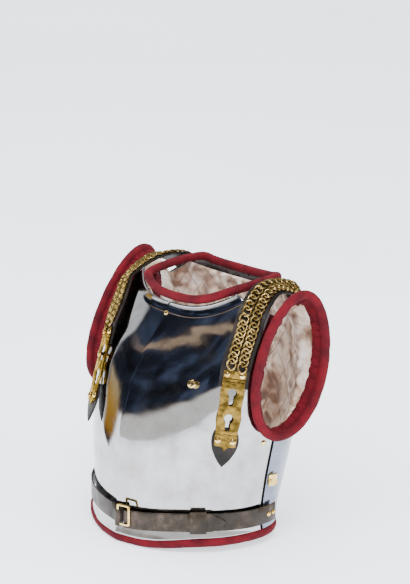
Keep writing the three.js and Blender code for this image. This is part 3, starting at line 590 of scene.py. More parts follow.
def arm_edge(face, angle):
    z = ARM["z"] - ARM["high"] * np.cos(angle)
    reach = ARM["half"] * np.sin(angle) ** ARM["power"]
    return ARM["y"] + ARM["lean"] * (z - ARM["z"]) + (-reach if face == "front" else reach), z


def inner_boundary(face, t):
    x = NECK["half"] * np.clip((t - ROWS["neck"]) / (1 - ROWS["neck"]), 0, 1)
    low = HEM["z"] + (NECK[face] - HEM["z"]) * np.clip(t / ROWS["neck"], 0, 1)
    z = np.where(t <= ROWS["neck"], low, neck_height(face, x))
    return across_at(x, z), z


def outer_boundary(face, t):
    turn = math.radians(ARM["turn"]) * np.clip((t - ROWS["arm"]) / (1 - ROWS["arm"]), 0, 1)
    y, z_arm = arm_edge(face, turn)
    bottom = HEM["z"] + HEM["arch"]
    low = bottom + (arm_edge(face, 0.0)[1] - bottom) * np.clip(t / ROWS["arm"], 0, 1)
    z = np.where(t <= ROWS["arm"], low, z_arm)
    return np.where(t <= ROWS["arm"], SEAM, np.minimum(SEAM, depth_at(face, y, z))), z


def plate_grid(face, rows, columns, raised=0.0):
    """s and z of a plate's left half, rows from hem to shoulder and columns from the middle outwards."""
    t = np.linspace(0, 1, rows + 1)[:, None]
    w = np.linspace(0, 1, columns + 1)[None]
    s0, z0 = inner_boundary(face, t)
    s1, z1 = outer_boundary(face, t)
    s = s0 + (s1 - s0) * w
    hem = (1 - np.clip(t / 0.08, 0, 1)) * (hem_rise(s) - HEM["arch"] * w)
    return s, z0 + (z1 - z0) * w + hem + raised * (1 - np.clip(t / 0.2, 0, 1))


print("the front of the neck dips", NECK["shoulder"] - NECK["front"], "mm")

# %% Plates
COLLAR = {"reach": 17.0, "out": 6.5}


def neck_line(face, count=240):
    x = np.linspace(-NECK["half"], NECK["half"], count)
    z = neck_height(face, x)
    return skin(face, across_at(x, z), z)


def turned_out(face, points, normals):
    """Bends the metal outwards near the neck."""
    line = neck_line(face)
    flat = points.reshape(-1, 3)
    near = np.full(len(flat), 1e9)
    close = flat[:, 2] > NECK[face] - 30
    gaps = np.linalg.norm(flat[close][:, None] - line[None], axis=-1)
    near[close] = gaps.min(1)
    rise = COLLAR["out"] * np.clip(1 - near / COLLAR["reach"], 0, 1) ** 2
    return points + (normals.reshape(-1, 3) * rise[:, None]).reshape(points.shape)


def plate(face, rows, columns):
    """The plate's outer sheet and the beads along its edges."""
    s, z = plate_grid(face, rows, columns)
    sheets, beads = [], []
    for side in (1, -1):
        normals = outward(face, side * s, z)
        points = turned_out(face, bare(face, side * s, z), normals)
        faces = quads(rows + 1, columns + 1)
        turn = (side > 0) == (face == "front")
        sheets.append((points.reshape(-1, 3), faces if turn else [f[::-1] for f in faces]))
        seam = int(rows * ROWS["arm"]) + 1
        neck = int(rows * ROWS["neck"]) + 1
        inset = THICK[face] / 2
        middle = points - normals * inset
        radius = inset + 0.5
        beads.append(bead(middle[:seam, -1], normals[:seam, -1], radius))
        beads.append(bead(middle[seam:, -1], normals[seam:, -1], radius))
        beads.append(bead(middle[neck:, 0], normals[neck:, 0], radius))
    return sheets, beads


def add_plate(name, face, node_name):
    sheets, beads = plate(face, 230, 110)
    mesh = new_mesh(name, sheets, closed=False)
    bm = bmesh.new()
    bm.from_mesh(mesh)
    bmesh.ops.remove_doubles(bm, verts=bm.verts, dist=2e-6)
    bm.to_mesh(mesh)
    bm.free()
    mesh.shade_smooth()
    metal = STEEL if face == "front" else BACK_STEEL
    obj = piece(name, mesh, metal, node_name)
    wall = obj.modifiers.new("wall", "SOLIDIFY")
    wall.thickness = THICK[face] * MM
    wall.offset = -1
    wall.use_even_offset = False
    piece(name + "_edges", new_mesh(name + "_edges", beads), metal)
    print(name, len(mesh.polygons), "faces")


def add_slit_shade():
    """A near-black strip of painted shade behind the open slit at each side, so that the slit looks dark."""
    z = np.linspace(HEM["z"] + HEM["arch"] + 1, arm_edge("front", 0.0)[1] - 2, 60)
    parts = []
    for side in (1, -1):
        p = bare("front", side, z)
        out = outward("front", side * 0.985 + 0 * z, z) + outward("back", side * 0.985 + 0 * z, z)
        out = unit(out)
        x = unit(np.cross(tangents(p), out))
        # The strip is painted shade behind the slit.
        parts.append(sweep(p, x, out, bar(5.5, -4.2, -3.2, 0.3)))
    piece("side_joint", new_mesh("side_joint", parts), SLIT_SHADE)


add_plate("breast_steel", "front", "breastplate")
add_plate("back_steel", "back", "backplate")
add_slit_shade()

# %% [markdown]
# ## Quilted linings
# A padded linen vest inside the plates. The stuffing makes every diamond swell between its seams,
# so the inner side is raised by a product of two waves that is zero along the stitched lines, and a
# slow unevenness keeps the pads from looking pressed by a machine.

# %% Linings
LINING = {"gap": 3.6, "thick": 4.5, "puff": 3.2, "raised": 10}


def ripple(p, size, seed):
    """A slow, smooth unevenness in mm, the same in every run."""
    rng = np.random.default_rng(seed)
    total = np.zeros(p.shape[:-1])
    for _ in range(7):
        direction = unit(rng.normal(size=3))
        total += np.sin(p @ direction * 2 * math.pi / (size * rng.uniform(0.6, 1.6)) + rng.uniform(0, 6.3))
    return total / 4


def add_lining(name, face, node_name):
    rows, columns = 150, 70
    s, z = plate_grid(face, rows, columns, LINING["raised"])
    top = -(THICK[face] + LINING["gap"])
    parts, maps = [], []
    for side in (1, -1):
        q = side * s
        u, v = q * 235 / QUILT["wide"], z / QUILT["tall"]
        swell = np.abs(np.sin(math.pi * (u + v)) * np.sin(math.pi * (u - v))) ** 0.6
        outer = skin(face, q, z, np.full(z.shape, top))
        lift = top - LINING["thick"] - LINING["puff"] * (swell - 0.5)
        lift = lift + 1.2 * ripple(outer, 45, 3) + 1.6 * ripple(outer, 22, 4)
        inner = skin(face, q, z, lift)
        sheet = quads(rows + 1, columns + 1)
        shift = (rows + 1) * (columns + 1)
        edge = list(range(columns + 1)) + [r * (columns + 1) + columns for r in range(1, rows + 1)]
        edge += [rows * (columns + 1) + c for c in range(columns - 1, -1, -1)]
        edge += [r * (columns + 1) for r in range(rows - 1, 0, -1)]
        rim = [(a, b, b + shift, a + shift) for a, b in zip(edge, edge[1:] + edge[:1])]
        faces = sheet + [tuple(i + shift for i in f[::-1]) for f in sheet] + rim
        parts.append((np.concatenate([outer.reshape(-1, 3), inner.reshape(-1, 3)]), faces))
        maps.append(np.stack([u.ravel(), v.ravel()], -1))
        maps.append(maps[-1])
    mesh = new_mesh(name, parts, closed=False)
    coordinates = np.concatenate(maps)
    layer = mesh.uv_layers.new(name="cloth")
    corners = np.array([loop.vertex_index for loop in mesh.loops])
    layer.data.foreach_set("uv", coordinates[corners].ravel())
    bm = bmesh.new()
    bm.from_mesh(mesh)
    bmesh.ops.recalc_face_normals(bm, faces=bm.faces)
    bm.to_mesh(mesh)
    bm.free()
    piece(name, mesh, LINEN, node_name)
    print(name, len(mesh.polygons), "faces")


add_lining("breast_quilting", "front", "front_lining")
add_lining("back_quilting", "back", "back_lining")

# %% [markdown]
# ## Cloth rolls
# Strips of red wool are sewn round a cord of stuffing. The neck roll rides on the collars, and the
# hem roll covers the plates' lower edge and is pressed flat where the armour stands on it.

# %% Rolls
ROLL = {"arm": 7.0, "neck": 6.7, "hem": 6.8}
NECK_ROLL = {"below": 0.6, "rise": 13.6, "inwards": 5, "middle": (0, 45, 0)}
HEM_ROLL = {"inset": 4.5, "above": 1.4, "out": 1.2, "sag": 0.3, "square": 0.85, "foot": 0.6}


def catmull(knots, loop=False, count=400):
    """Even points on a centripetal curve through the knots; columns past the third are carried along."""
    k = np.asarray(knots, float)
    if loop:
        k = np.concatenate([k[-1:], k, k[:2]])
    else:
        k = np.concatenate([2 * k[:1] - k[1:2], k, 2 * k[-1:] - k[-2:-1]])
    runs = []
    for a, b, c, d in zip(k, k[1:], k[2:], k[3:]):
        ta = 0.0
        tb = ta + max(np.linalg.norm((b - a)[:3]), 1e-6) ** 0.5
        tc = tb + max(np.linalg.norm((c - b)[:3]), 1e-6) ** 0.5
        td = tc + max(np.linalg.norm((d - c)[:3]), 1e-6) ** 0.5
        t = np.linspace(tb, tc, 60, endpoint=False)[:, None]
        ab = (tb - t) / (tb - ta) * a + (t - ta) / (tb - ta) * b
        bc = (tc - t) / (tc - tb) * b + (t - tb) / (tc - tb) * c
        cd = (td - t) / (td - tc) * c + (t - tc) / (td - tc) * d
        abc = (tc - t) / (tc - ta) * ab + (t - ta) / (tc - ta) * bc
        bcd = (td - t) / (td - tb) * bc + (t - tb) / (td - tb) * cd
        runs.append((tc - t) / (tc - tb) * abc + (t - tb) / (tc - tb) * bcd)
    dense = np.concatenate(runs + [k[1:2] if loop else k[-2:-1]])
    length = np.concatenate([[0], np.cumsum(np.linalg.norm(np.diff(dense[:, :3], axis=0), axis=1))])
    steps = np.linspace(0, length[-1], count, endpoint=not loop)
    return np.stack([np.interp(steps, length, column) for column in dense.T], -1), length[-1]


def ring_frames(p):
    """x away from the vertical axis, y upwards, both across the line."""
    along = tangents(p, True)
    out = unit((p - p.mean(0)) * [1, 1, 0])
    y = unit(np.cross(along, out))
    y *= np.sign(y[:, 2:])
    return unit(np.cross(y, along)), y


def uneven_roll(p, x, y, outline, amount, size, seed):
    """Sweeps a stuffed roll whose surface swells and sinks a little."""
    points, faces = sweep(p, x, y, outline, loop=True)
    centre = np.repeat(p, np.asarray(outline).shape[-2], 0)
    out = unit(points - centre)
    return points + out * (amount * ripple(points, size, seed))[:, None], faces


def add_neck_roll():
    knots = []
    for face in ("front", "back"):
        x = np.linspace(-NECK["half"], NECK["half"], 13)[1:-1]
        z = neck_height(face, x) - NECK_ROLL["below"]
        line = bare(face, across_at(x, z), z) + [0, 0, NECK_ROLL["rise"]]
        knots.append(line if face == "front" else line[::-1])
    p, _ = catmull(np.concatenate(knots), loop=True, count=260)
    p = p - NECK_ROLL["inwards"] * unit((p - NECK_ROLL["middle"]) * [1, 1, 0])
    x, y = ring_frames(p)
    mesh = new_mesh("neck_border", [uneven_roll(p, x, y, circle(ROLL["neck"], 22), 0.25, 30, 11)])
    piece("neck_border", mesh, WOOL, "neck_roll")


def add_hem_roll():
    count = 150
    s = np.linspace(-1, 1, count, endpoint=False)
    p = np.concatenate(
        [bare("front", s, HEM["z"], -HEM_ROLL["inset"]), bare("back", -s, HEM["z"], -HEM_ROLL["inset"])]
    )
    rise = hem_rise(np.concatenate([s, -s]))
    top = HEM["z"] + HEM_ROLL["above"]
    half, tall = ROLL["hem"], top / 2
    a = np.arange(24) * 2 * math.pi / 24
    curve = np.sign(np.sin(a)) * np.abs(np.sin(a)) ** HEM_ROLL["square"]
    outline = np.stack([half * np.cos(a), np.maximum(tall * curve, -tall + HEM_ROLL["foot"])], -1)
    p[:, 2] = top / 2 + rise - HEM_ROLL["sag"]
    x = unit(ring_frames(p)[0] * [1, 1, 0])
    y = np.tile([0.0, 0.0, 1.0], (len(p), 1))
    points, faces = uneven_roll(
        p + x * HEM_ROLL["out"], x, y, outline, 0.18, 26, 12
    )
    points[:, 2] = np.maximum(points[:, 2], 0.0)
    mesh = new_mesh("hem_border", [(points, faces)])
    piece("hem_border", mesh, WOOL, "hem_roll")


add_neck_roll()
add_hem_roll()
print("rolls are", 2 * ROLL["neck"], "mm thick at the neck and", 2 * ROLL["hem"], "mm at the hem")

# %% [markdown]
# ## Arm rings
# Each armhole has a stout roll with a short sleeve behind it, sewn to the lining. The cloth puffs
# up most about halfway along the sleeve, and its gathers lean a little as they cross it. The sleeve
# is red near the roll and of plain linen beyond.

# %% Arm rings
ARM_RING = {"y": 48.2, "z": 283, "high": 104, "egg": 0.1}
ARM_RING_SIDES = {
    "left": {"x": 187.7, "half": 56, "turn": 0.25, "lean": 0.24, "inward": 0.09},
    "right": {"x": 191.3, "half": 57, "turn": 0.02, "lean": 0.3, "inward": 0.11},
}
SLEEVE = {"inset": 9.0, "deep": 5.0, "folds": 15.0, "red": 24.0}
# The ring's outline: points round the roll, then the sleeve's rows out and back; the first rows are red wool.
ROLL_POINTS = 24
SLEEVE_ROWS = 10
RED_ROWS = 6
RING_POINTS = ROLL_POINTS + 2 * SLEEVE_ROWS
FOLD_SEED = {"left": 5, "right": 6}
SIGN = {"left": 1, "right": -1}


def arm_ring(name, angle):
    ring = ARM_RING_SIDES[name]
    t = -np.cos(angle)
    rise = ARM_RING["high"] * t
    y = ARM_RING["y"] + ring["lean"] * rise - ring["half"] * (1 - ARM_RING["egg"] * t) * np.sin(angle)
    x = ring["x"] - ring["inward"] * rise + ring["turn"] * (y - ARM_RING["y"])
    return np.stack([SIGN[name] * x, y - MIDDLE_Y, ARM_RING["z"] + rise], -1)


def sleeve_foot(name, angle):
    """Where the sleeve is sewn to the lining, just inside the edge of the armhole."""
    points = []
    for face, turned in (("front", np.sin(angle) >= 0), ("back", np.sin(angle) < 0)):
        y, z = arm_edge(face, np.arccos(np.clip(np.cos(angle[turned]), -1, 1)))
        edge = bare(face, SIGN[name] * depth_at(face, y, z), z)
        middle = np.stack(
            [edge[:, 0], ARM["y"] - MIDDLE_Y + ARM["lean"] * (z - ARM["z"]), 0 * z + ARM["z"]], -1
        )
        edge = edge + unit(middle - edge) * SLEEVE["inset"] - [SIGN[name] * SLEEVE["deep"], 0, 0]
        points.append((turned, edge))
    foot = np.zeros((len(angle), 3))
    for turned, edge in points:
        foot[turned] = edge
    return foot


def folds(arc, seed):
    """The gathers of the sleeve along the ring: broad, uneven puffs between narrow creases, from -1 to 1."""
    rng = np.random.default_rng(seed)
    around = arc / arc[-1]
    count = round(arc[-1] / SLEEVE["folds"])
    drift = sum(
        rng.uniform(-0.5, 0.5) * np.sin(2 * math.pi * k * around + rng.uniform(0, 6.3)) for k in range(1, 7)
    )
    phase = math.pi * (count * around + drift)
    puff = np.abs(np.sin(phase)) ** 0.5
    size = 0.75 + 0.35 * np.sin(
        2 * math.pi * 5 * around + rng.uniform(0, 6)
    ) * np.sin(2 * math.pi * 3 * around)
    return (2 * puff - 1) * size


print("an arm ring has", RING_POINTS, "points in its outline")

# %% Sleeves


def sleeve_reach(k, knee, length):
    """How far a row of the sleeve reaches: evenly to the edge of the red cloth, then to the seam."""
    near = ROLL["arm"] * 0.93
    if k < RED_ROWS:
        return near + (knee - near) * (k + 1) / RED_ROWS
    return knee + (length - knee) * (k + 1 - RED_ROWS) / (SLEEVE_ROWS - RED_ROWS)


def ring_outlines(puff, slant, length):
    """Roll and sleeve as one outline at every point of the ring: first towards the lining, then across."""
    turns = np.radians(np.linspace(24, 336, ROLL_POINTS))
    knee = np.minimum(SLEEVE["red"], length - 2)
    outline = np.zeros((len(length), RING_POINTS, 2))
    outline[:, :ROLL_POINTS, 0] = ROLL["arm"] * np.cos(turns)
    outline[:, :ROLL_POINTS, 1] = ROLL["arm"] * np.sin(turns)
    for k in range(SLEEVE_ROWS):
        f = (k + 1) / SLEEVE_ROWS
        lift = (1 - f) * puff + f * slant
        swell = math.sin(math.pi * min(f * 1.15, 1.0)) ** 0.7
        half = np.maximum(0.6 + 3.3 * swell + 3.0 * lift * (0.35 + 0.65 * swell), 0.5)
        for row, sign in ((ROLL_POINTS + k, -1), (RING_POINTS - 1 - k, 1)):
            outline[:, row, 0] = sleeve_reach(k, knee, length)
            outline[:, row, 1] = sign * half
    return outline


def line_sleeve(mesh):
    """Beyond the red gathers the sleeve is of the same linen as the lining, but not quilted."""
    mesh.materials.append(PLAIN_LINEN)
    for polygon in mesh.polygons:
        spots = [v % RING_POINTS for v in polygon.vertices]
        if min(spots) >= ROLL_POINTS - 1 + RED_ROWS and max(spots) <= RING_POINTS - RED_ROWS:
            polygon.material_index = 1


def add_arm_ring(name):
    count = 900
    angle = np.arange(count) * 2 * math.pi / count
    p = arm_ring(name, angle)
    along = tangents(p, True)
    x = sleeve_foot(name, angle) - p
    x -= along * (x * along).sum(-1, keepdims=True)
    length = np.linalg.norm(x, axis=-1)
    x = unit(x)
    y = np.cross(along, x) * SIGN[name]
    arc = length_of_ring(p)
    puff = folds(arc, FOLD_SEED[name])
    slant = np.interp(arc + 5.0, arc, puff, period=arc[-1])
    part = uneven_roll(p, x, y, ring_outlines(puff, slant, length), 0.35, 26, 21)
    mesh = new_mesh("arm_border_" + name, [part])
    obj = piece("arm_border_" + name, mesh, WOOL, "arm_roll_" + name)
    line_sleeve(mesh)
    print(name, "arm ring is", round(arc[-1]), "mm round")


def length_of_ring(p):
    return np.concatenate([[0], np.cumsum(np.linalg.norm(np.diff(p, axis=0), axis=1))])


for arm in SIGN:
    add_arm_ring(arm)

# %% [markdown]
# ## Shoulder straps
# A strap is a leather band that carries two rows of chain and ends in a stiff brass plate with two
# keyholes and a leather leaf. The left strap hangs free beside the armhole; the right one is hooked
# on its stud. Its route is straight along the brass plate and then follows the chest, the shoulder
# and the back.

# %% Strap routes
STRAP = {"half": 22, "thick": 2.4}
PLATE_THICK = 1.6
CLEAR = 0.6
PLATE_TO = 148.0
ROUTES = {
    "left": {
        "tip": (141.5, 139, 7),
        "head": (144.5, 284, 8),
        "front": [(143, 306, 6), (140, 334, 4), (136, 356, 5)],
    },
    "right": {
        "tip": (82, 163, 12),
        "head": (104, 298, 7),
        "front": [(113, 320, 7), (123, 341, 6.5), (130, 358, 6.5)],
    },
}
CREST = (126, 62, 386)
CREST_LEAN = 0.25
REAR = [(119, 364, 10), (114, 338, 3.4)]


def on_plate(face, side, spot):
    x, z, lift = spot
    s = side * across_at(x, z)
    return np.concatenate([skin(face, s, z, lift), outward(face, s, z)])


class Route:
    """A strap's middle line; frames are given by the distance from the tip."""

    def __init__(self, name):
        side = SIGN[name]
        spots = ROUTES[name]
        start, bend = on_plate("front", side, spots["tip"]), on_plate("front", side, spots["head"])
        self.start = start[:3]
        self.ahead = unit(bend[:3] - start[:3])
        self.stiff = float(np.linalg.norm(bend[:3] - start[:3]))
        out = start[3:] + bend[3:]
        self.out = unit(out - self.ahead * (out @ self.ahead))
        crest = np.array([side * CREST[0], CREST[1] - MIDDLE_Y, CREST[2], side * CREST_LEAN, 0, 1])
        crest[3:] = unit(crest[3:])
        knots = [np.concatenate([bend[:3], self.out])]
        knots += [on_plate("front", side, spot) for spot in spots["front"]] + [crest]
        knots += [on_plate("back", side, spot) for spot in REAR]
        self.line, curved = catmull(knots, count=500)
        self.length = self.stiff + curved

    def frames(self, a):
        """Point, direction across, direction away from the body, and direction along, at the distances a."""
        a = np.atleast_1d(np.asarray(a, float))
        steps = np.linspace(self.stiff, self.length, len(self.line))
        line = np.stack([np.interp(a, steps, column) for column in self.line.T], -1)
        slopes = tangents(self.line[:, :3])
        along = unit(np.stack([np.interp(a, steps, column) for column in slopes.T], -1))
        straight = (a <= self.stiff)[:, None]
        p = np.where(straight, self.start + self.ahead * a[:, None], line[:, :3])
        along = np.where(straight, self.ahead, along)
        out = np.where(straight, self.out, line[:, 3:])
        out = unit(out - along * (out * along).sum(-1, keepdims=True))
        return p, np.cross(along, out), out, along


ROUTE = {name: Route(name) for name in SIGN}
print("strap lengths:", {name: round(route.length) for name, route in ROUTE.items()}, "mm")

# %% [markdown]
# ### Leather of the straps
# The band under the chains, and the pointed leaf below the brass plate. The leaf is cut from thick
# leather with eased edges: a filled curve with a small bevel gives exactly that.

# %% Strap leather


def lay(route, points):
    """Points given as across, along and out from the strap's middle line, in mm, laid on the route."""
    points = np.asarray(points, float)
    p, x, out, _ = route.frames(points[:, 1])
    return p + x * points[:, :1] + out * points[:, 2:]


def cut_sheet(name, outlines, low, thick, bevel, resolution=3):
    """A flat piece between two heights, from closed outlines; the later ones are holes."""
    data = bpy.data.curves.new(name, "CURVE")
    data.dimensions = "2D"
    data.fill_mode = "BOTH"
    data.extrude = thick / 2 - bevel
    data.bevel_depth = bevel
    data.bevel_resolution = resolution
    data.offset = -bevel
    for outline in outlines:
        spline = data.splines.new("POLY")
        spline.points.add(len(outline) - 1)
        for point, (x, y) in zip(spline.points, outline):
            point.co = (x, y, 0, 1)
        spline.use_cyclic_u = True
    obj = bpy.data.objects.new(name, data)
    bpy.context.scene.collection.objects.link(obj)
    graph = bpy.context.evaluated_depsgraph_get()
    mesh = bpy.data.meshes.new_from_object(obj.evaluated_get(graph))
    points = np.array([v.co[:] for v in mesh.vertices]) + [0, 0, low + thick / 2]
    faces = [tuple(p.vertices) for p in mesh.polygons]
    bpy.data.objects.remove(obj)
    bpy.data.curves.remove(data)
    bpy.data.meshes.remove(mesh)
    return points, faces


def leaf_outline():
    """Half a leaf from its point to its shoulder, and its mirror image."""
    knots = [(0, 0, 0), (8, 9, 0), (13.8, 18, 0), (18.4, 28, 0), (20.3, 38, 0), (19, 50, 0), (14, 60, 0)]
    side = catmull(knots, count=34)[0][:, :2]
    return np.concatenate([side, (side * [-1, 1])[::-1][:-1]])


def add_strap_leather(name):
    route = ROUTE[name]
    a = np.arange(122, route.length, 2.5)
    p, x, out, _ = route.frames(a)
    band = sweep(p, x, out, bar(STRAP["half"], 0, STRAP["thick"], 0.6))
    piece(
        "strap_band_" + name, crease(new_mesh("strap_band_" + name, [band])), STRAP_LEATHER,
        "shoulder_strap_" + name
    )
    points, faces = cut_sheet("leaf", [leaf_outline()], 0, STRAP["thick"], 0.7)
    leaf = new_mesh("strap_leaf_" + name, [(lay(route, points), faces)])
    piece("strap_leaf_" + name, leaf, STRAP_LEATHER, "strap_tip_" + name)


for arm in SIGN:
    add_strap_leather(arm)
print("strap leather is", 2 * STRAP["half"], "mm wide")

# %% [markdown]
# ### Keyhole plates
# Cast brass with wavy sides, a point like an ogee arch at its foot, two keyholes for the stud, and
# raised bars that were filed after casting. The outline is a smooth curve through a few widths; the
# keyholes are arcs.

# %% Keyhole plates
KEYHOLES = (75, 114)
KEY_BARS = ((50, 1.2), (130, 1.7), (134.6, 1.7))
KEY = {"circle": 6.9, "slot": 3.6, "drop": 19}


def key_outline():
    sides = [(16.2, 34), (16.8, 45), (16.6, 57), (18.2, 68), (18.8, 76), (17.8, 85), (17, 94), (17.6, 104),
             (18.2, 114), (17.4, 124), (17, 134), (17, 148)]
    side = catmull([(w, a, 0) for w, a in sides], count=70)[0][:, :2]
    foot = catmull(
        [(0, 25, 0), (2.6, 29, 0), (7, 31.6, 0), (12.5, 32, 0), (15.6, 33, 0)], count=16
    )[0][:, :2]
    half = np.concatenate([foot, side])
    return np.concatenate([half, (half * [-1, 1])[::-1][:-1]])


def keyhole(a):
    lean = math.asin(KEY["slot"] / KEY["circle"])
    arc = np.linspace(-math.pi / 2 + lean, 1.5 * math.pi - lean, 28)
    low = np.linspace(math.pi, 2 * math.pi, 14)
    top = np.stack([KEY["circle"] * np.cos(arc), a + KEY["circle"] * np.sin(arc)], -1)
    foot = np.stack(
        [KEY["slot"] * np.cos(low), a - KEY["drop"] + KEY["slot"] + KEY["slot"] * np.sin(low)], -1
    )
    return np.concatenate([top, foot])


def cross_bar(a, half, radius, base):
    """A raised bar across the plate, half round and closed at both ends."""
    p = np.array([(-half, a, base), (-half + 0.7, a, base), (half - 0.7, a, base), (half, a, base)], float)
    outline = np.stack([circle(radius, 12) * k for k in (0.55, 1, 1, 0.55)])
    across, up = np.array([[0.0, 1, 0]] * 4), np.array([[0.0, 0, 1]] * 4)
    return sweep(p, across, up, outline)


def add_key_plate(name):
    route = ROUTE[name]
    low = STRAP["thick"] + CLEAR
    top = low + PLATE_THICK
    parts = [cut_sheet("key", [key_outline()] + [keyhole(a) for a in KEYHOLES], low, PLATE_THICK, 0.4)]
    for a, radius in KEY_BARS:
        parts.append(cross_bar(a, 16.8, radius, top - 0.2))
    parts = [(lay(route, points), faces) for points, faces in parts]
    mesh = crease(new_mesh("key_brass_" + name, parts), 40)
    piece("key_brass_" + name, mesh, BRASS, "key_plate_" + name)


def add_rear_plate(name):
    """The plain plate that holds the strap to the backplate."""
    route = ROUTE[name]
    end = route.length
    outline = []
    for f in np.linspace(0, 1, 20):
        outline.append((-20 + 40 * f, end - 20))
    corner = np.linspace(0, math.pi / 2, 8)
    outline += [(15 + 5 * math.cos(c), end - 5 + 5 * math.sin(c)) for c in corner]
    outline += [(-15 - 5 * math.sin(c), end - 5 + 5 * math.cos(c)) for c in corner]
    points, faces = cut_sheet("rear", [outline], STRAP["thick"] + CLEAR, PLATE_THICK, 0.4)
    piece(
        "rear_brass_" + name, crease(new_mesh("rear_brass_" + name, [(lay(route, points), faces)])),
        BRASS, "strap_end_" + name
    )


for arm in SIGN:
    add_key_plate(arm)
    add_rear_plate(arm)
print("keyholes at", KEYHOLES, "mm from the tip")

# %% [markdown]
# ## Repeated fittings
# Links and rivets repeat by the dozen. One Geometry Nodes tree sets a small part on every point of
# a row and turns it by two directions that the points carry. The result becomes a plain mesh.

# %% Setting out with Geometry Nodes


def fitting_tree():
    tree = bpy.data.node_groups.new("set_out_fittings", "GeometryNodeTree")
    face = tree.interface
    face.new_socket("Geometry", in_out="INPUT", socket_type="NodeSocketGeometry")
    face.new_socket("Part", in_out="INPUT", socket_type="NodeSocketObject")
    face.new_socket("Size", in_out="INPUT", socket_type="NodeSocketFloat").default_value = 1.0
    face.new_socket("Finish", in_out="INPUT", socket_type="NodeSocketMaterial")
    face.new_socket("Geometry", in_out="OUTPUT", socket_type="NodeSocketGeometry")
    given = node(tree, "NodeGroupInput").outputs
    part = node(tree, "GeometryNodeObjectInfo", [("Object", given["Part"])])
    out = node(tree, "GeometryNodeInputNamedAttribute", data_type="FLOAT_VECTOR", Name="out")
    along = node(tree, "GeometryNodeInputNamedAttribute", data_type="FLOAT_VECTOR", Name="along")
    up = node(tree, "FunctionNodeAlignRotationToVector", [("Vector", out.outputs[0])], axis="Z")
    links = [("Rotation", up.outputs[0]), ("Vector", along.outputs[0])]
    turn = node(tree, "FunctionNodeAlignRotationToVector", links, axis="X", pivot_axis="Z")
    links = [("Points", given["Geometry"]), ("Instance", part.outputs["Geometry"])]
    links += [("Rotation", turn.outputs[0]), ("Scale", given["Size"])]
    set_out = node(tree, "GeometryNodeInstanceOnPoints", links)
    real = node(tree, "GeometryNodeRealizeInstances", [("Geometry", set_out.outputs[0])])
    finish = node(
        tree, "GeometryNodeSetMaterial", [("Geometry", real.outputs[0]), ("Material", given["Finish"])]
    )
    node(tree, "NodeGroupOutput", [("Geometry", finish.outputs[0])])
    return tree


FITTING_TREE = fitting_tree()


def set_out(name, part, points, out, along, material, size=1.0):
    """A plain mesh with a copy of the part on every point; directions and points in mm."""
    mesh = bpy.data.meshes.new(name + "_points")
    mesh.from_pydata((np.asarray(points) * MM).tolist(), [], [])
    for key, values in (("out", out), ("along", along)):
        data = mesh.attributes.new(key, "FLOAT_VECTOR", "POINT").data
        data.foreach_set("vector", np.asarray(values, float).ravel())
    holder = bpy.data.objects.new(name + "_points", mesh)
    bpy.context.scene.collection.objects.link(holder)
    source = bpy.data.objects.new(name + "_part", part)
    modifier = holder.modifiers.new("set out", "NODES")
    modifier.node_group = FITTING_TREE
    inputs = {
        item.name: item.identifier for item in FITTING_TREE.interface.items_tree if item.in_out == "INPUT"
    }
    modifier[inputs["Part"]] = source
    modifier[inputs["Size"]] = float(size)
    modifier[inputs["Finish"]] = material
    graph = bpy.context.evaluated_depsgraph_get()
    result = bpy.data.meshes.new_from_object(holder.evaluated_get(graph))
    result.name = name
    bpy.data.objects.remove(holder)
    bpy.data.objects.remove(source)
    result.shade_smooth()
    return result


print("the setting-out tree has", len(FITTING_TREE.nodes), "nodes")


# %% [markdown]
# ### Chain
# Each row is a curb chain: flat, wide links, each twisted so that one end rises and the other dips,
# which is what lets them lie flat and close. A link's centre line is an oval whose plane turns from
# one end to the other.

# %% Chain
LINK = {"long": 16.5, "wide": 13.6, "wire": 1.7, "pitch": 10.2, "twist": math.radians(48), "flat": 0.5}
CHAIN_ASIDE = 8.4


def link_mesh():
    a = np.arange(20) * 2 * math.pi / 20
    x = LINK["long"] / 2 * np.cos(a)
    turn = LINK["twist"] * np.cos(a)
    reach = LINK["wide"] / 2 * np.sin(a)
    p = np.stack([x + 1.6 * np.sin(a), reach * np.cos(turn), LINK["flat"] * reach * np.sin(turn)], -1)
    return new_mesh("link", [bead(p, np.tile([0.0, 0.0, 1.0], (20, 1)), LINK["wire"], 7, True)])


def add_chains(name):
    route = ROUTE[name]
    link = link_mesh()
    base = STRAP["thick"] + 2.7
    for row, aside in (("inner", -1), ("outer", 1)):
        first = PLATE_TO + LINK["long"] / 2 - 2
        count = int((route.length - 24 - first) / LINK["pitch"])
        a = first + LINK["pitch"] * np.arange(count + 1)
        points = np.stack([np.full(len(a), SIGN[name] * aside * CHAIN_ASIDE), a, np.full(len(a), base)], -1)
        _, _, out, along = route.frames(a)
        mesh = set_out(f"chain_{row}_links_{name}", link, lay(route, points), out, along, CHAIN_BRASS)
        piece(f"chain_{row}_links_{name}", mesh, CHAIN_BRASS, f"chain_{row}_{name}")
    print(name, "strap:", 2 * (count + 1), "links")


for arm in SIGN:
    add_chains(arm)

# %% [markdown]
# ## Belt
# Two leather halves are riveted to the backplate. The right half ends under the buckle. The left
# half is folded back at the buckle, and its upper layer runs over the lower one, through a sliding
# keeper, to a pointed end.

# %% Belt
BELT = {"half": 14, "thick": 2.4, "clear": 3.4}
BUCKLE = {"x": 19, "half": 12, "high": 17, "z": 49}


def belt_height(name, s):
    if name == "left":
        return 41 + 8 * smooth(s / 0.45) - 3 * smooth((s - 0.55) / 0.4)
    return 47 + 4 * smooth(s / 0.6)


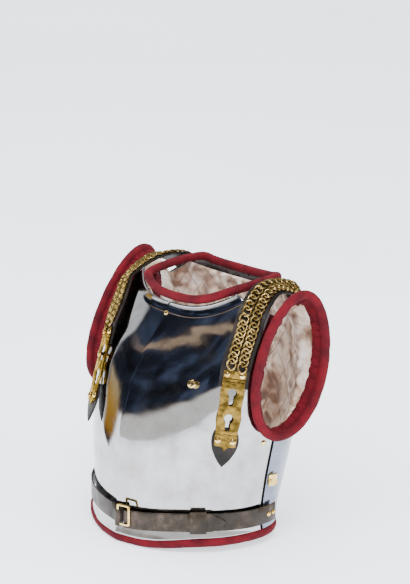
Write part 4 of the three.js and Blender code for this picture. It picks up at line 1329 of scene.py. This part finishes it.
def belt_frames(face, s, z, lift=0.0):
    """Frames of a band that bridges the hollow of the waist: x up, y away from the body."""
    s, z = np.broadcast_arrays(np.asarray(s, float), np.asarray(z, float))
    levels = z[..., None] + BELT["half"] * np.linspace(-1, 1, 5)
    widest = section(face, levels)
    depth = widest.min(-1) if face == "front" else widest.max(-1)
    half = section("half", levels).max(-1)

    def at(q):
        u = 1 - (1 - np.abs(q)) ** 2
        side = section("side", z)
        y = side + (depth - side) * fullness(face, u, section("keel", z)) - MIDDLE_Y
        return np.stack([np.sign(q) * u * half, y, z], -1)

    inside = np.clip(s, -0.985, 0.985)
    along = unit(at(inside + 0.004) - at(inside - 0.004))
    up = np.broadcast_to([0.0, 0.0, 1.0], along.shape)
    out = unit(np.cross(along, up))
    out = out if face == "front" else -out
    return at(s) + out * (BELT["clear"] + lift), up, out


def belt_line(name, start, end=None):
    """A belt half's frames from s = start to the side, and on to s = end on the backplate if given."""
    side = SIGN[name]
    s = np.linspace(start, 0.985, 150)
    p, up, out = belt_frames("front", side * s, belt_height(name, s))
    if end is not None:
        q = np.linspace(0.97, end, 16)
        back = belt_frames("back", side * q, belt_height(name, 1.0))
        p, up, out = (np.concatenate(pair) for pair in zip((p, up, out), back))
    return p, up, unit(out)


def belt_at(x):
    return float(across_at(x, 35))


print("the belt stands", BELT["clear"], "mm off the steel")

# %% Belt leather


def add_belt_left():
    t, w = BELT["thick"], BELT["half"]
    start = belt_at(BUCKLE["x"])
    p, up, out = belt_line("left", start, 0.85)
    low = sweep(p, up, out, bar(w, 0, t, 0.6))
    s = np.linspace(start, belt_at(141), 110)
    q, up2, out2 = belt_frames("front", s, belt_height("left", s))
    left = np.linspace(1, 0, len(s))
    half = w * np.minimum(1, left * 6.5 + 0.06) ** 0.8
    outline = np.array([bar(max(h, 0.9), t + 0.5, 2 * t + 0.5, 0.6) for h in half])
    top = sweep(q, up2, out2, outline)
    turn = np.linspace(-math.pi / 2, math.pi / 2, 12)
    fold_radius = t + 0.25
    along = unit(p[0] - p[1])
    bend = []
    for radius in (fold_radius, 0.25):
        ring = [
            p[0] + along * radius * math.cos(a) + out[0] * (
                fold_radius + radius * math.sin(a)
            ) for a in turn
        ]
        bend.append(np.array(ring))
    rows = []
    for a, b in zip(*bend):
        rows.append([a - up[0] * w, a + up[0] * w, b + up[0] * w, b - up[0] * w])
    fold = (np.array(rows).reshape(-1, 3), quads(12, 4, False, True) + [(0, 1, 2, 3), (47, 46, 45, 44)])
    mesh = crease(new_mesh("belt_band_left", [low, top, fold]), 45)
    piece("belt_band_left", mesh, BELT_LEATHER, "belt_left")


def add_belt_right():
    p, up, out = belt_line("right", -belt_at(13), 0.85)
    mesh = crease(
        new_mesh("belt_band_right", [sweep(p, up, out, bar(BELT["half"], 0, BELT["thick"], 0.6))]), 45
    )
    piece("belt_band_right", mesh, BELT_LEATHER, "belt_right")


def add_keeper():
    s = np.linspace(belt_at(110), belt_at(126), 12)
    p, up, out = belt_frames("front", s, belt_height("left", s))
    w, top = BELT["half"] + 1.0, 2 * BELT["thick"] + 1.3
    outer = np.array(bar(w + 1.6, -1.4, top + 1.6, 1.4))
    inner = np.array(bar(w, -0.5, top, 0.8))
    points = np.concatenate(
        [p[:, None] + up[:, None] * o[:, :1] + out[:, None] * o[:, 1:] for o in (outer, inner)], 1
    )
    faces = []
    rows, sides = len(p), 8
    for j in range(rows - 1):
        for i in range(sides):
            n = (i + 1) % sides
            a, b = j * 16, (j + 1) * 16
            faces.append((a + i, a + n, b + n, b + i))
            faces.append((a + 8 + n, a + 8 + i, b + 8 + i, b + 8 + n))
    for j in (0, rows - 1):
        for i in range(sides):
            n = (i + 1) % sides
            faces.append((j * 16 + i, j * 16 + n, j * 16 + 8 + n, j * 16 + 8 + i))
    mesh = crease(new_mesh("belt_loop", [(points.reshape(-1, 3), faces)]), 45)
    piece("belt_loop", mesh, BELT_LEATHER, "belt_keeper")


add_belt_left()
add_belt_right()
add_keeper()
print("belt is", 2 * BELT["half"], "mm wide")

# %% [markdown]
# ### Buckle
# A rectangular frame cast in brass with rounded edges. A leather loop holds the bar on the wearer's
# right.

# %% Buckle


def rounded(half, high, r, steps=6):
    corner = np.linspace(0, math.pi / 2, steps)
    points = []
    for sx, sy, turn in ((1, 1, 0), (-1, 1, 1), (-1, -1, 2), (1, -1, 3)):
        centre = np.array([sx * (half - r), sy * (high - r)])
        for c in corner:
            a = c + turn * math.pi / 2
            points.append(centre + r * np.array([math.cos(a), math.sin(a)]))
    return points


BUCKLE_LOOP = {"half": 12.5, "outer": 3.4, "inner": 1.8, "below": 6}


def add_buckle_loop(p, along, up, out):
    """The leather loop round the bar on the wearer's right."""
    a = np.linspace(0, 2 * math.pi, 24, endpoint=False)
    rings = []
    for radius in (BUCKLE_LOOP["outer"], BUCKLE_LOOP["inner"]):
        beside = radius * 1.5 * np.cos(a) - BUCKLE["half"] + 1.2
        rings.append(np.stack([beside, radius * np.sin(a) + 0.6], -1))
    rows = []
    for pair in zip(*rings):
        for q in pair:
            for h in (-BUCKLE_LOOP["half"], BUCKLE_LOOP["half"]):
                rows.append(p + along * q[0] + out * (q[1] + 1.0) + up * (h - BUCKLE_LOOP["below"]))
    rows = np.array(rows).reshape(24, 4, 3)[:, [0, 1, 3, 2]]
    loop = (rows.reshape(-1, 3), quads(24, 4, True, True))
    piece("buckle_loop", crease(new_mesh("buckle_loop", [loop]), 45), BELT_LEATHER)


def add_buckle():
    p, up, out = belt_frames("front", belt_at(BUCKLE["x"]), BUCKLE["z"], 2 * BELT["thick"] + 1.4)
    along = np.cross(up, out)
    outlines = [
        rounded(BUCKLE["half"], BUCKLE["high"], 4),
        rounded(BUCKLE["half"] - 3.8, BUCKLE["high"] - 3.8, 2.2)
    ]
    points, faces = cut_sheet("buckle", outlines, 0, 3.2, 1.3, 5)
    points = p + points[:, :1] * along + points[:, 1:2] * up + points[:, 2:] * out
    piece("belt_buckle", new_mesh("belt_buckle", [(points, faces)]), RIVET_BRASS, "buckle")
    add_buckle_loop(p, along, up, out)


add_buckle()
print("buckle is", 2 * BUCKLE["half"], "by", 2 * BUCKLE["high"], "mm")

# %% [markdown]
# ## Rivets, studs and clasps
# Rivets are turned brass with a low dome. A stud stands on a short neck and has a slot in its head,
# because it is screwed in. The side clasps are small folded hooks that hold the two plates
# together.

# %% Small parts


def dome(radius, height, base=0.0, rings=7, sides=20):
    """A closed low dome on a short cylinder."""
    f = np.linspace(0, math.pi / 2, rings)[:-1]
    radii = np.concatenate([[radius], radius * np.cos(f)])
    heights = np.concatenate([[base], base + 0.35 + (height - 0.35) * np.sin(f)])
    a = np.arange(sides) * 2 * math.pi / sides
    points = [(r * math.cos(t), r * math.sin(t), h) for r, h in zip(radii, heights) for t in a]
    points.append((0, 0, base + height))
    top = (len(radii) - 1) * sides
    faces = quads(len(radii), sides, False, True) + [tuple(range(sides))[::-1]]
    faces += [(top + i, top + (i + 1) % sides, len(points) - 1) for i in range(sides)]
    return points, faces


def strap_spot(route, a, x):
    top = STRAP["thick"] + CLEAR + PLATE_THICK
    _, _, out, along = route.frames(a)
    return lay(route, [(x, a, top)])[0], out[0], along[0]


def skin_spot(face, s, z):
    return skin(face, s, z, 0.1), outward(face, s, z), np.array([0.0, 0.0, 1.0])


def belt_spot(name, s):
    p, up, out = belt_frames("back", SIGN[name] * s, belt_height(name, 1.0), BELT["thick"])
    return p, out, up


print("a rivet has", len(dome(4.2, 2.7)[0]), "points")

# %% Rivets


def add_fitting(label, node_name, part, spot, size=1.0):
    """Sets one turned part on a spot, which is a point, a direction away and a direction along."""
    p, out, along = spot
    mesh = set_out(label, part, [p], [out], [along], RIVET_BRASS, size)
    piece(label, mesh, RIVET_BRASS, node_name)


RIVET = {"radius": 4.2, "high": 2.7, "apart": 11.3, "head": 141.5, "foot": 41, "rear": 10}
RIVET_SIZE = {"head": 1.17, "foot": 1.17, "rear": 1.17, "belt": 1.0}
SIDE_STUD = {"s": 0.91, "z": 166.0, "size": 1.05}
NECK_STUD = {"z": 341.0, "size": 0.95}


def add_rivets():
    rivet = new_mesh("rivet", [dome(RIVET["radius"], RIVET["high"])])
    for name, route in ROUTE.items():
        for k, x in enumerate((-RIVET["apart"], RIVET["apart"]), 1):
            spots = {
                "head": strap_spot(route, RIVET["head"], x),
                "foot": strap_spot(route, RIVET["foot"], x),
                "rear": strap_spot(route, route.length - RIVET["rear"], x),
                "belt": belt_spot(name, 0.95 - 0.065 * (k - 1)),
            }
            for kind, spot in spots.items():
                tail = f"{name}_{k}"
                add_fitting(f"{kind}_stud_{tail}", f"{kind}_rivet_{tail}", rivet, spot, RIVET_SIZE[kind])
        spot = skin_spot("front", SIGN[name] * SIDE_STUD["s"], SIDE_STUD["z"])
        add_fitting("side_stud_" + name, "side_rivet_" + name, rivet, spot, SIDE_STUD["size"])
    spot = skin_spot("front", 0.0, NECK_STUD["z"])
    add_fitting("neck_stud", "neck_rivet", rivet, spot, NECK_STUD["size"])


add_rivets()
print("rivets stand", RIVET["high"], "mm high")

# %% Studs
STUD = {"x": 100, "z": 259, "slot_along": (0.4, 0.1, 1.0)}


def stud_mesh():
    """A turned stud: foot, neck and head on one axis, with a slot sunk in the head."""
    profile = [
        (0, 0), (4.6, 0), (4.6, 0.8), (3.4, 1.6), (2.9, 3), (2.9, 8.8), (5.6, 9.0), (6.2, 9.8),
        (6.0, 10.8)
    ]
    profile += [(4.8, 11.7), (3.0, 12.1), (0, 12.2)]
    sides = 28
    a = np.arange(sides) * 2 * math.pi / sides
    points = [(r * math.cos(t), r * math.sin(t), h) for r, h in profile for t in a]
    points = np.array(points)
    slot = (np.abs(points[:, 1]) < 1.3) & (points[:, 2] > 11.0)
    points[slot, 2] -= 1.3
    return new_mesh("stud", [(points, quads(len(profile), sides, False, True))])


def add_studs():
    part = stud_mesh()
    for name, side in SIGN.items():
        s = side * across_at(STUD["x"], STUD["z"])
        p, out, _ = skin_spot("front", s, STUD["z"])
        add_fitting("chest_stud_" + name, "stud_" + name, part, (p, out, STUD["slot_along"]))


add_studs()
print("chest studs at", STUD["x"], "mm from the middle")

# %% Clasps


def add_clasp(name):
    side = SIGN[name]
    z = 100.0
    p = skin("back", side * 0.95, z, 1.6)
    out = outward("back", side * 0.95, z)
    up = np.array([0.0, 0.0, 1.0])
    ahead = unit(side * np.cross(up, out))
    outline = catmull(
        [(-6, 2.2, 0), (-1, 2.3, 0), (1, 3.6, 0), (6, 4.1, 0), (11.5, 3.6, 0), (12.6, 2.4, 0)], count=26
    )[0][:, :2]
    under = catmull(
        [(12, 1.4, 0), (6, 1.9, 0), (2.4, 1.6, 0), (0.4, 0.2, 0), (-6, 0, 0)], count=20
    )[0][:, :2]
    profile = np.concatenate([outline, under])
    heights = np.array([-9, -8.4, 8.4, 9.0])
    grow = np.array([0.88, 1, 1, 0.88])
    rows = []
    middle = profile.mean(0)
    for h, g in zip(heights, grow):
        q = middle + (profile - middle) * g
        rows.append(p + q[:, :1] * ahead + q[:, 1:] * out + up * h)
    rows = np.array(rows)
    n = len(profile)
    faces = quads(4, n, False, True) + [tuple(range(n)), tuple(range(3 * n, 4 * n))[::-1]]
    nail = np.array(dome(2.6, 1.5)[0])
    nail = p + ahead * (nail[:, :1] - 2.6) + up * nail[:, 1:2] + out * (nail[:, 2:] + 2.2)
    parts = [(rows.reshape(-1, 3), faces), (nail, dome(2.6, 1.5)[1])]
    piece(
        "side_hook_" + name, crease(new_mesh("side_hook_" + name, parts), 40), RIVET_BRASS,
        "clasp_" + name
    )


for arm in SIGN:
    add_clasp(arm)

# %% [markdown]
# ## Floor, room and light
# Steel shows its surroundings, so the room matters as much as the metal. The armour stands on a
# wide sheet of pale paper that reaches to the horizon. Round the camera the room is dark and
# bluish, with one warm beam across it, a pale window and a low pale wall; the upper half of the
# chest mirrors all that, and the lower half mirrors the paper. Only mirror-like reflections show
# the room. It is painted by the direction of view alone.

# %% Floor


TOWARDS_CAMERA = (math.sin(AZIMUTH), -math.cos(AZIMUTH), 0.0)
ACROSS = (math.cos(AZIMUTH), math.sin(AZIMUTH), 0.0)
# The paper's corners in metres, across and towards the camera; a wedge at the left is left open.
PAPER = [(-9, 9), (-9, -3.7), (-0.66, -0.27), (-2.6, -2.9), (-1.9, -9), (9, -9), (9, 9)]

# The paper glows a little, which washes the shadows out.
PAPER_GLOW = 0.95


def add_floor():
    corners = [tuple(1000 * (np.array(ACROSS) * a + np.array(TOWARDS_CAMERA) * t)) for a, t in PAPER]
    mesh = new_mesh("pale_floor", [(corners, [tuple(range(len(corners)))])], closed=False)
    material, tree, shader = new_finish("matt_white_paper", "#F2F3F5", 0.9)
    shader.inputs["Specular IOR Level"].default_value = 0.05
    shade = ramp(tree, noise(tree, place(tree), 900, 2), [(0.3, "#EDEFF2"), (0.7, "#F6F7F9")])
    tree.links.new(shade, shader.inputs["Base Color"])
    shader.inputs["Emission Color"].default_value = colour("#E2EAF8")
    shader.inputs["Emission Strength"].default_value = PAPER_GLOW
    mesh.materials.append(material)
    floor = bpy.data.objects.new("pale_floor", mesh)
    bpy.context.scene.collection.objects.link(floor)


add_floor()
print("the paper has", len(PAPER), "corners")

# %% Room
SKY_POWER = 2.4
ROOM_POWER = 1.3


def math_node(tree, operation, a, b):
    made = node(tree, "ShaderNodeMath", operation=operation)
    for socket, value in zip(made.inputs, (a, b)):
        if isinstance(value, (int, float)):
            socket.default_value = value
        else:
            tree.links.new(value, socket)
    return made.outputs[0]


def mix(tree, fac, a, b):
    """A colour that goes from a to b; each may be a hex colour or a node's output."""
    made = node(tree, "ShaderNodeMix", [(0, fac)], data_type="RGBA")
    for index, value in ((6, a), (7, b)):
        if isinstance(value, str):
            made.inputs[index].default_value = colour(value)
        else:
            tree.links.new(value, made.inputs[index])
    return made.outputs[2]


def looking(tree, way, direction, gain=1.0):
    """How far a direction of view points that way, from -gain to gain."""
    made = node(tree, "ShaderNodeVectorMath", [(0, way)], operation="DOT_PRODUCT")
    made.inputs[1].default_value = [gain * part for part in direction]
    return made.outputs["Value"]


def weighted(tree, *terms):
    """Half plus a sum of outputs times their weights, so that a ramp can read it."""
    total = 0.5
    for output, weight in terms:
        total = math_node(tree, "ADD", math_node(tree, "MULTIPLY", output, weight), total)
    return total


def both(tree, a, b):
    return math_node(tree, "MULTIPLY", a, b)


print("the sky is", round(SKY_POWER / ROOM_POWER, 2), "times as strong as the room")

# %% Walls


def upper_room(tree, way, up, behind, left):
    """Dark blotchy walls, a slanting warm beam, a window beyond the armour and grey light at the right."""
    blotch = node(tree, "ShaderNodeTexNoise", [("Vector", way)], Scale=6.0, Detail=6.0).outputs["Fac"]
    dark = ramp(tree, blotch, [(0.35, "#14161D"), (0.5, "#262C3B"), (0.62, "#45506A"), (0.75, "#5D6474")])
    slant = weighted(tree, (up, 1.0), (behind, 0.71), (left, -0.93))
    beam = ramp(tree, slant, [(0.405, 0.0), (0.42, 1.0), (0.48, 1.0), (0.495, 0.0)])
    ahead = ramp(tree, behind, [(0.3, 1.0), (0.48, 0.0)])
    room = mix(tree, both(tree, beam, ahead), dark, "#C2A88E")
    room = mix(tree, ramp(tree, slant, [(0.7, 0.0), (0.84, 0.8)]), room, "#9A9CA3")
    window = both(tree, ramp(tree, behind, [(0.46, 0.0), (0.5, 1.0)]),
                  ramp(tree, left, [(0.3, 0.0), (0.4, 1.0), (0.775, 1.0), (0.79, 0.0)]))
    room = mix(tree, window, room, "#E9EBEF")
    right = both(tree, left, -1.0)
    return mix(tree, ramp(tree, right, [(0.45, 0.0), (0.8, 1.0)]), room, "#77808E")


def lower_room(tree, room, up, behind, left):
    """A pale low wall with a grey top, higher towards the camera, and a yellow cloth low at the left."""
    wall = weighted(tree, (up, 1.0), (behind, 0.2))
    room = mix(tree, ramp(tree, wall, [(0.56, 1.0), (0.59, 0.0)]), room, "#9B9088")
    room = mix(tree, ramp(tree, wall, [(0.535, 1.0), (0.575, 0.0)]), room, "#FFFEFC")
    height = weighted(tree, (up, 1.0))
    cloth = ramp(tree, height, [(0.31, "#2A211C"), (0.35, "#B07E2C"), (0.45, "#C79A42"), (0.56, "#C9B48C"),
                                (0.62, "#5A5448")])
    stripe = both(tree, ramp(tree, behind, [(0.41, 0.0), (0.45, 1.0), (0.58, 1.0), (0.62, 0.0)]),
                  ramp(tree, left, [(0.6, 0.0), (0.7, 1.0)]))
    stripe = both(tree, stripe, ramp(tree, height, [(0.56, 1.0), (0.64, 0.0)]))
    room = mix(tree, stripe, room, cloth)
    return mix(tree, ramp(tree, behind, [(0.86, 0.0), (0.95, 1.0)]), room, "#D3D6DC")


def add_room():
    """Polished metal mirrors the room; everything else is lit by an even pale sky."""
    world = bpy.data.worlds.new("studio")
    bpy.context.scene.world = world
    world.use_nodes = True
    tree = world.node_tree
    tree.nodes.clear()
    way = place(tree, "Generated")
    up = looking(tree, way, (0, 0, 1))
    behind = looking(tree, way, TOWARDS_CAMERA, -1.0)
    left = looking(tree, way, ACROSS, -1.0)
    room = lower_room(tree, upper_room(tree, way, up, behind, left), up, behind, left)
    sky = mix(tree, ramp(tree, up, [(0.0, 0.0), (1.0, 1.0)]), "#E4E7EC", "#F5F6F8")
    mirrored = node(tree, "ShaderNodeLightPath").outputs["Is Glossy Ray"]
    shown = mix(tree, mirrored, sky, room)
    power = math_node(tree, "ADD", both(tree, mirrored, ROOM_POWER - SKY_POWER), SKY_POWER)
    back = node(tree, "ShaderNodeBackground", [("Color", shown), ("Strength", power)])
    node(tree, "ShaderNodeOutputWorld", [("Surface", back.outputs[0])])


add_room()
print("room painted with", len(bpy.context.scene.world.node_tree.nodes), "nodes")

# %% Lamps


def add_lamp(name, azimuth, elevation, distance, size, power, tint="#FFFFFF"):
    """A square lamp that faces the cuirass; azimuth is measured from the camera's side, to its right."""
    low, high = np.array(CAD_BOX)
    target = (low + high) / 2
    turn = AZIMUTH + math.radians(azimuth)
    rise = math.radians(elevation)
    away = np.array([math.sin(turn) * math.cos(rise), -math.cos(turn) * math.cos(rise), math.sin(rise)])
    data = bpy.data.lights.new(name, "AREA")
    data.shape = "SQUARE"
    data.size = size
    data.energy = power
    data.color = colour(tint)[:3]
    lamp = bpy.data.objects.new(name, data)
    lamp.location = target + away * distance
    lamp.rotation_euler = (math.pi / 2 - rise, 0, turn)
    lamp.visible_glossy = False
    bpy.context.scene.collection.objects.link(lamp)
    return lamp


add_lamp("key_lamp", -35, 55, 3.0, 1.6, 60)
add_lamp("fill_lamp", 50, 12, 3.2, 1.2, 42)
add_lamp("top_lamp", 180, 70, 3.0, 2.5, 40)
glints = add_lamp("glint_lamp", 10, 60, 2.5, 0.5, 26)
glints.visible_glossy = True
print("lamps:", len(bpy.data.lights))
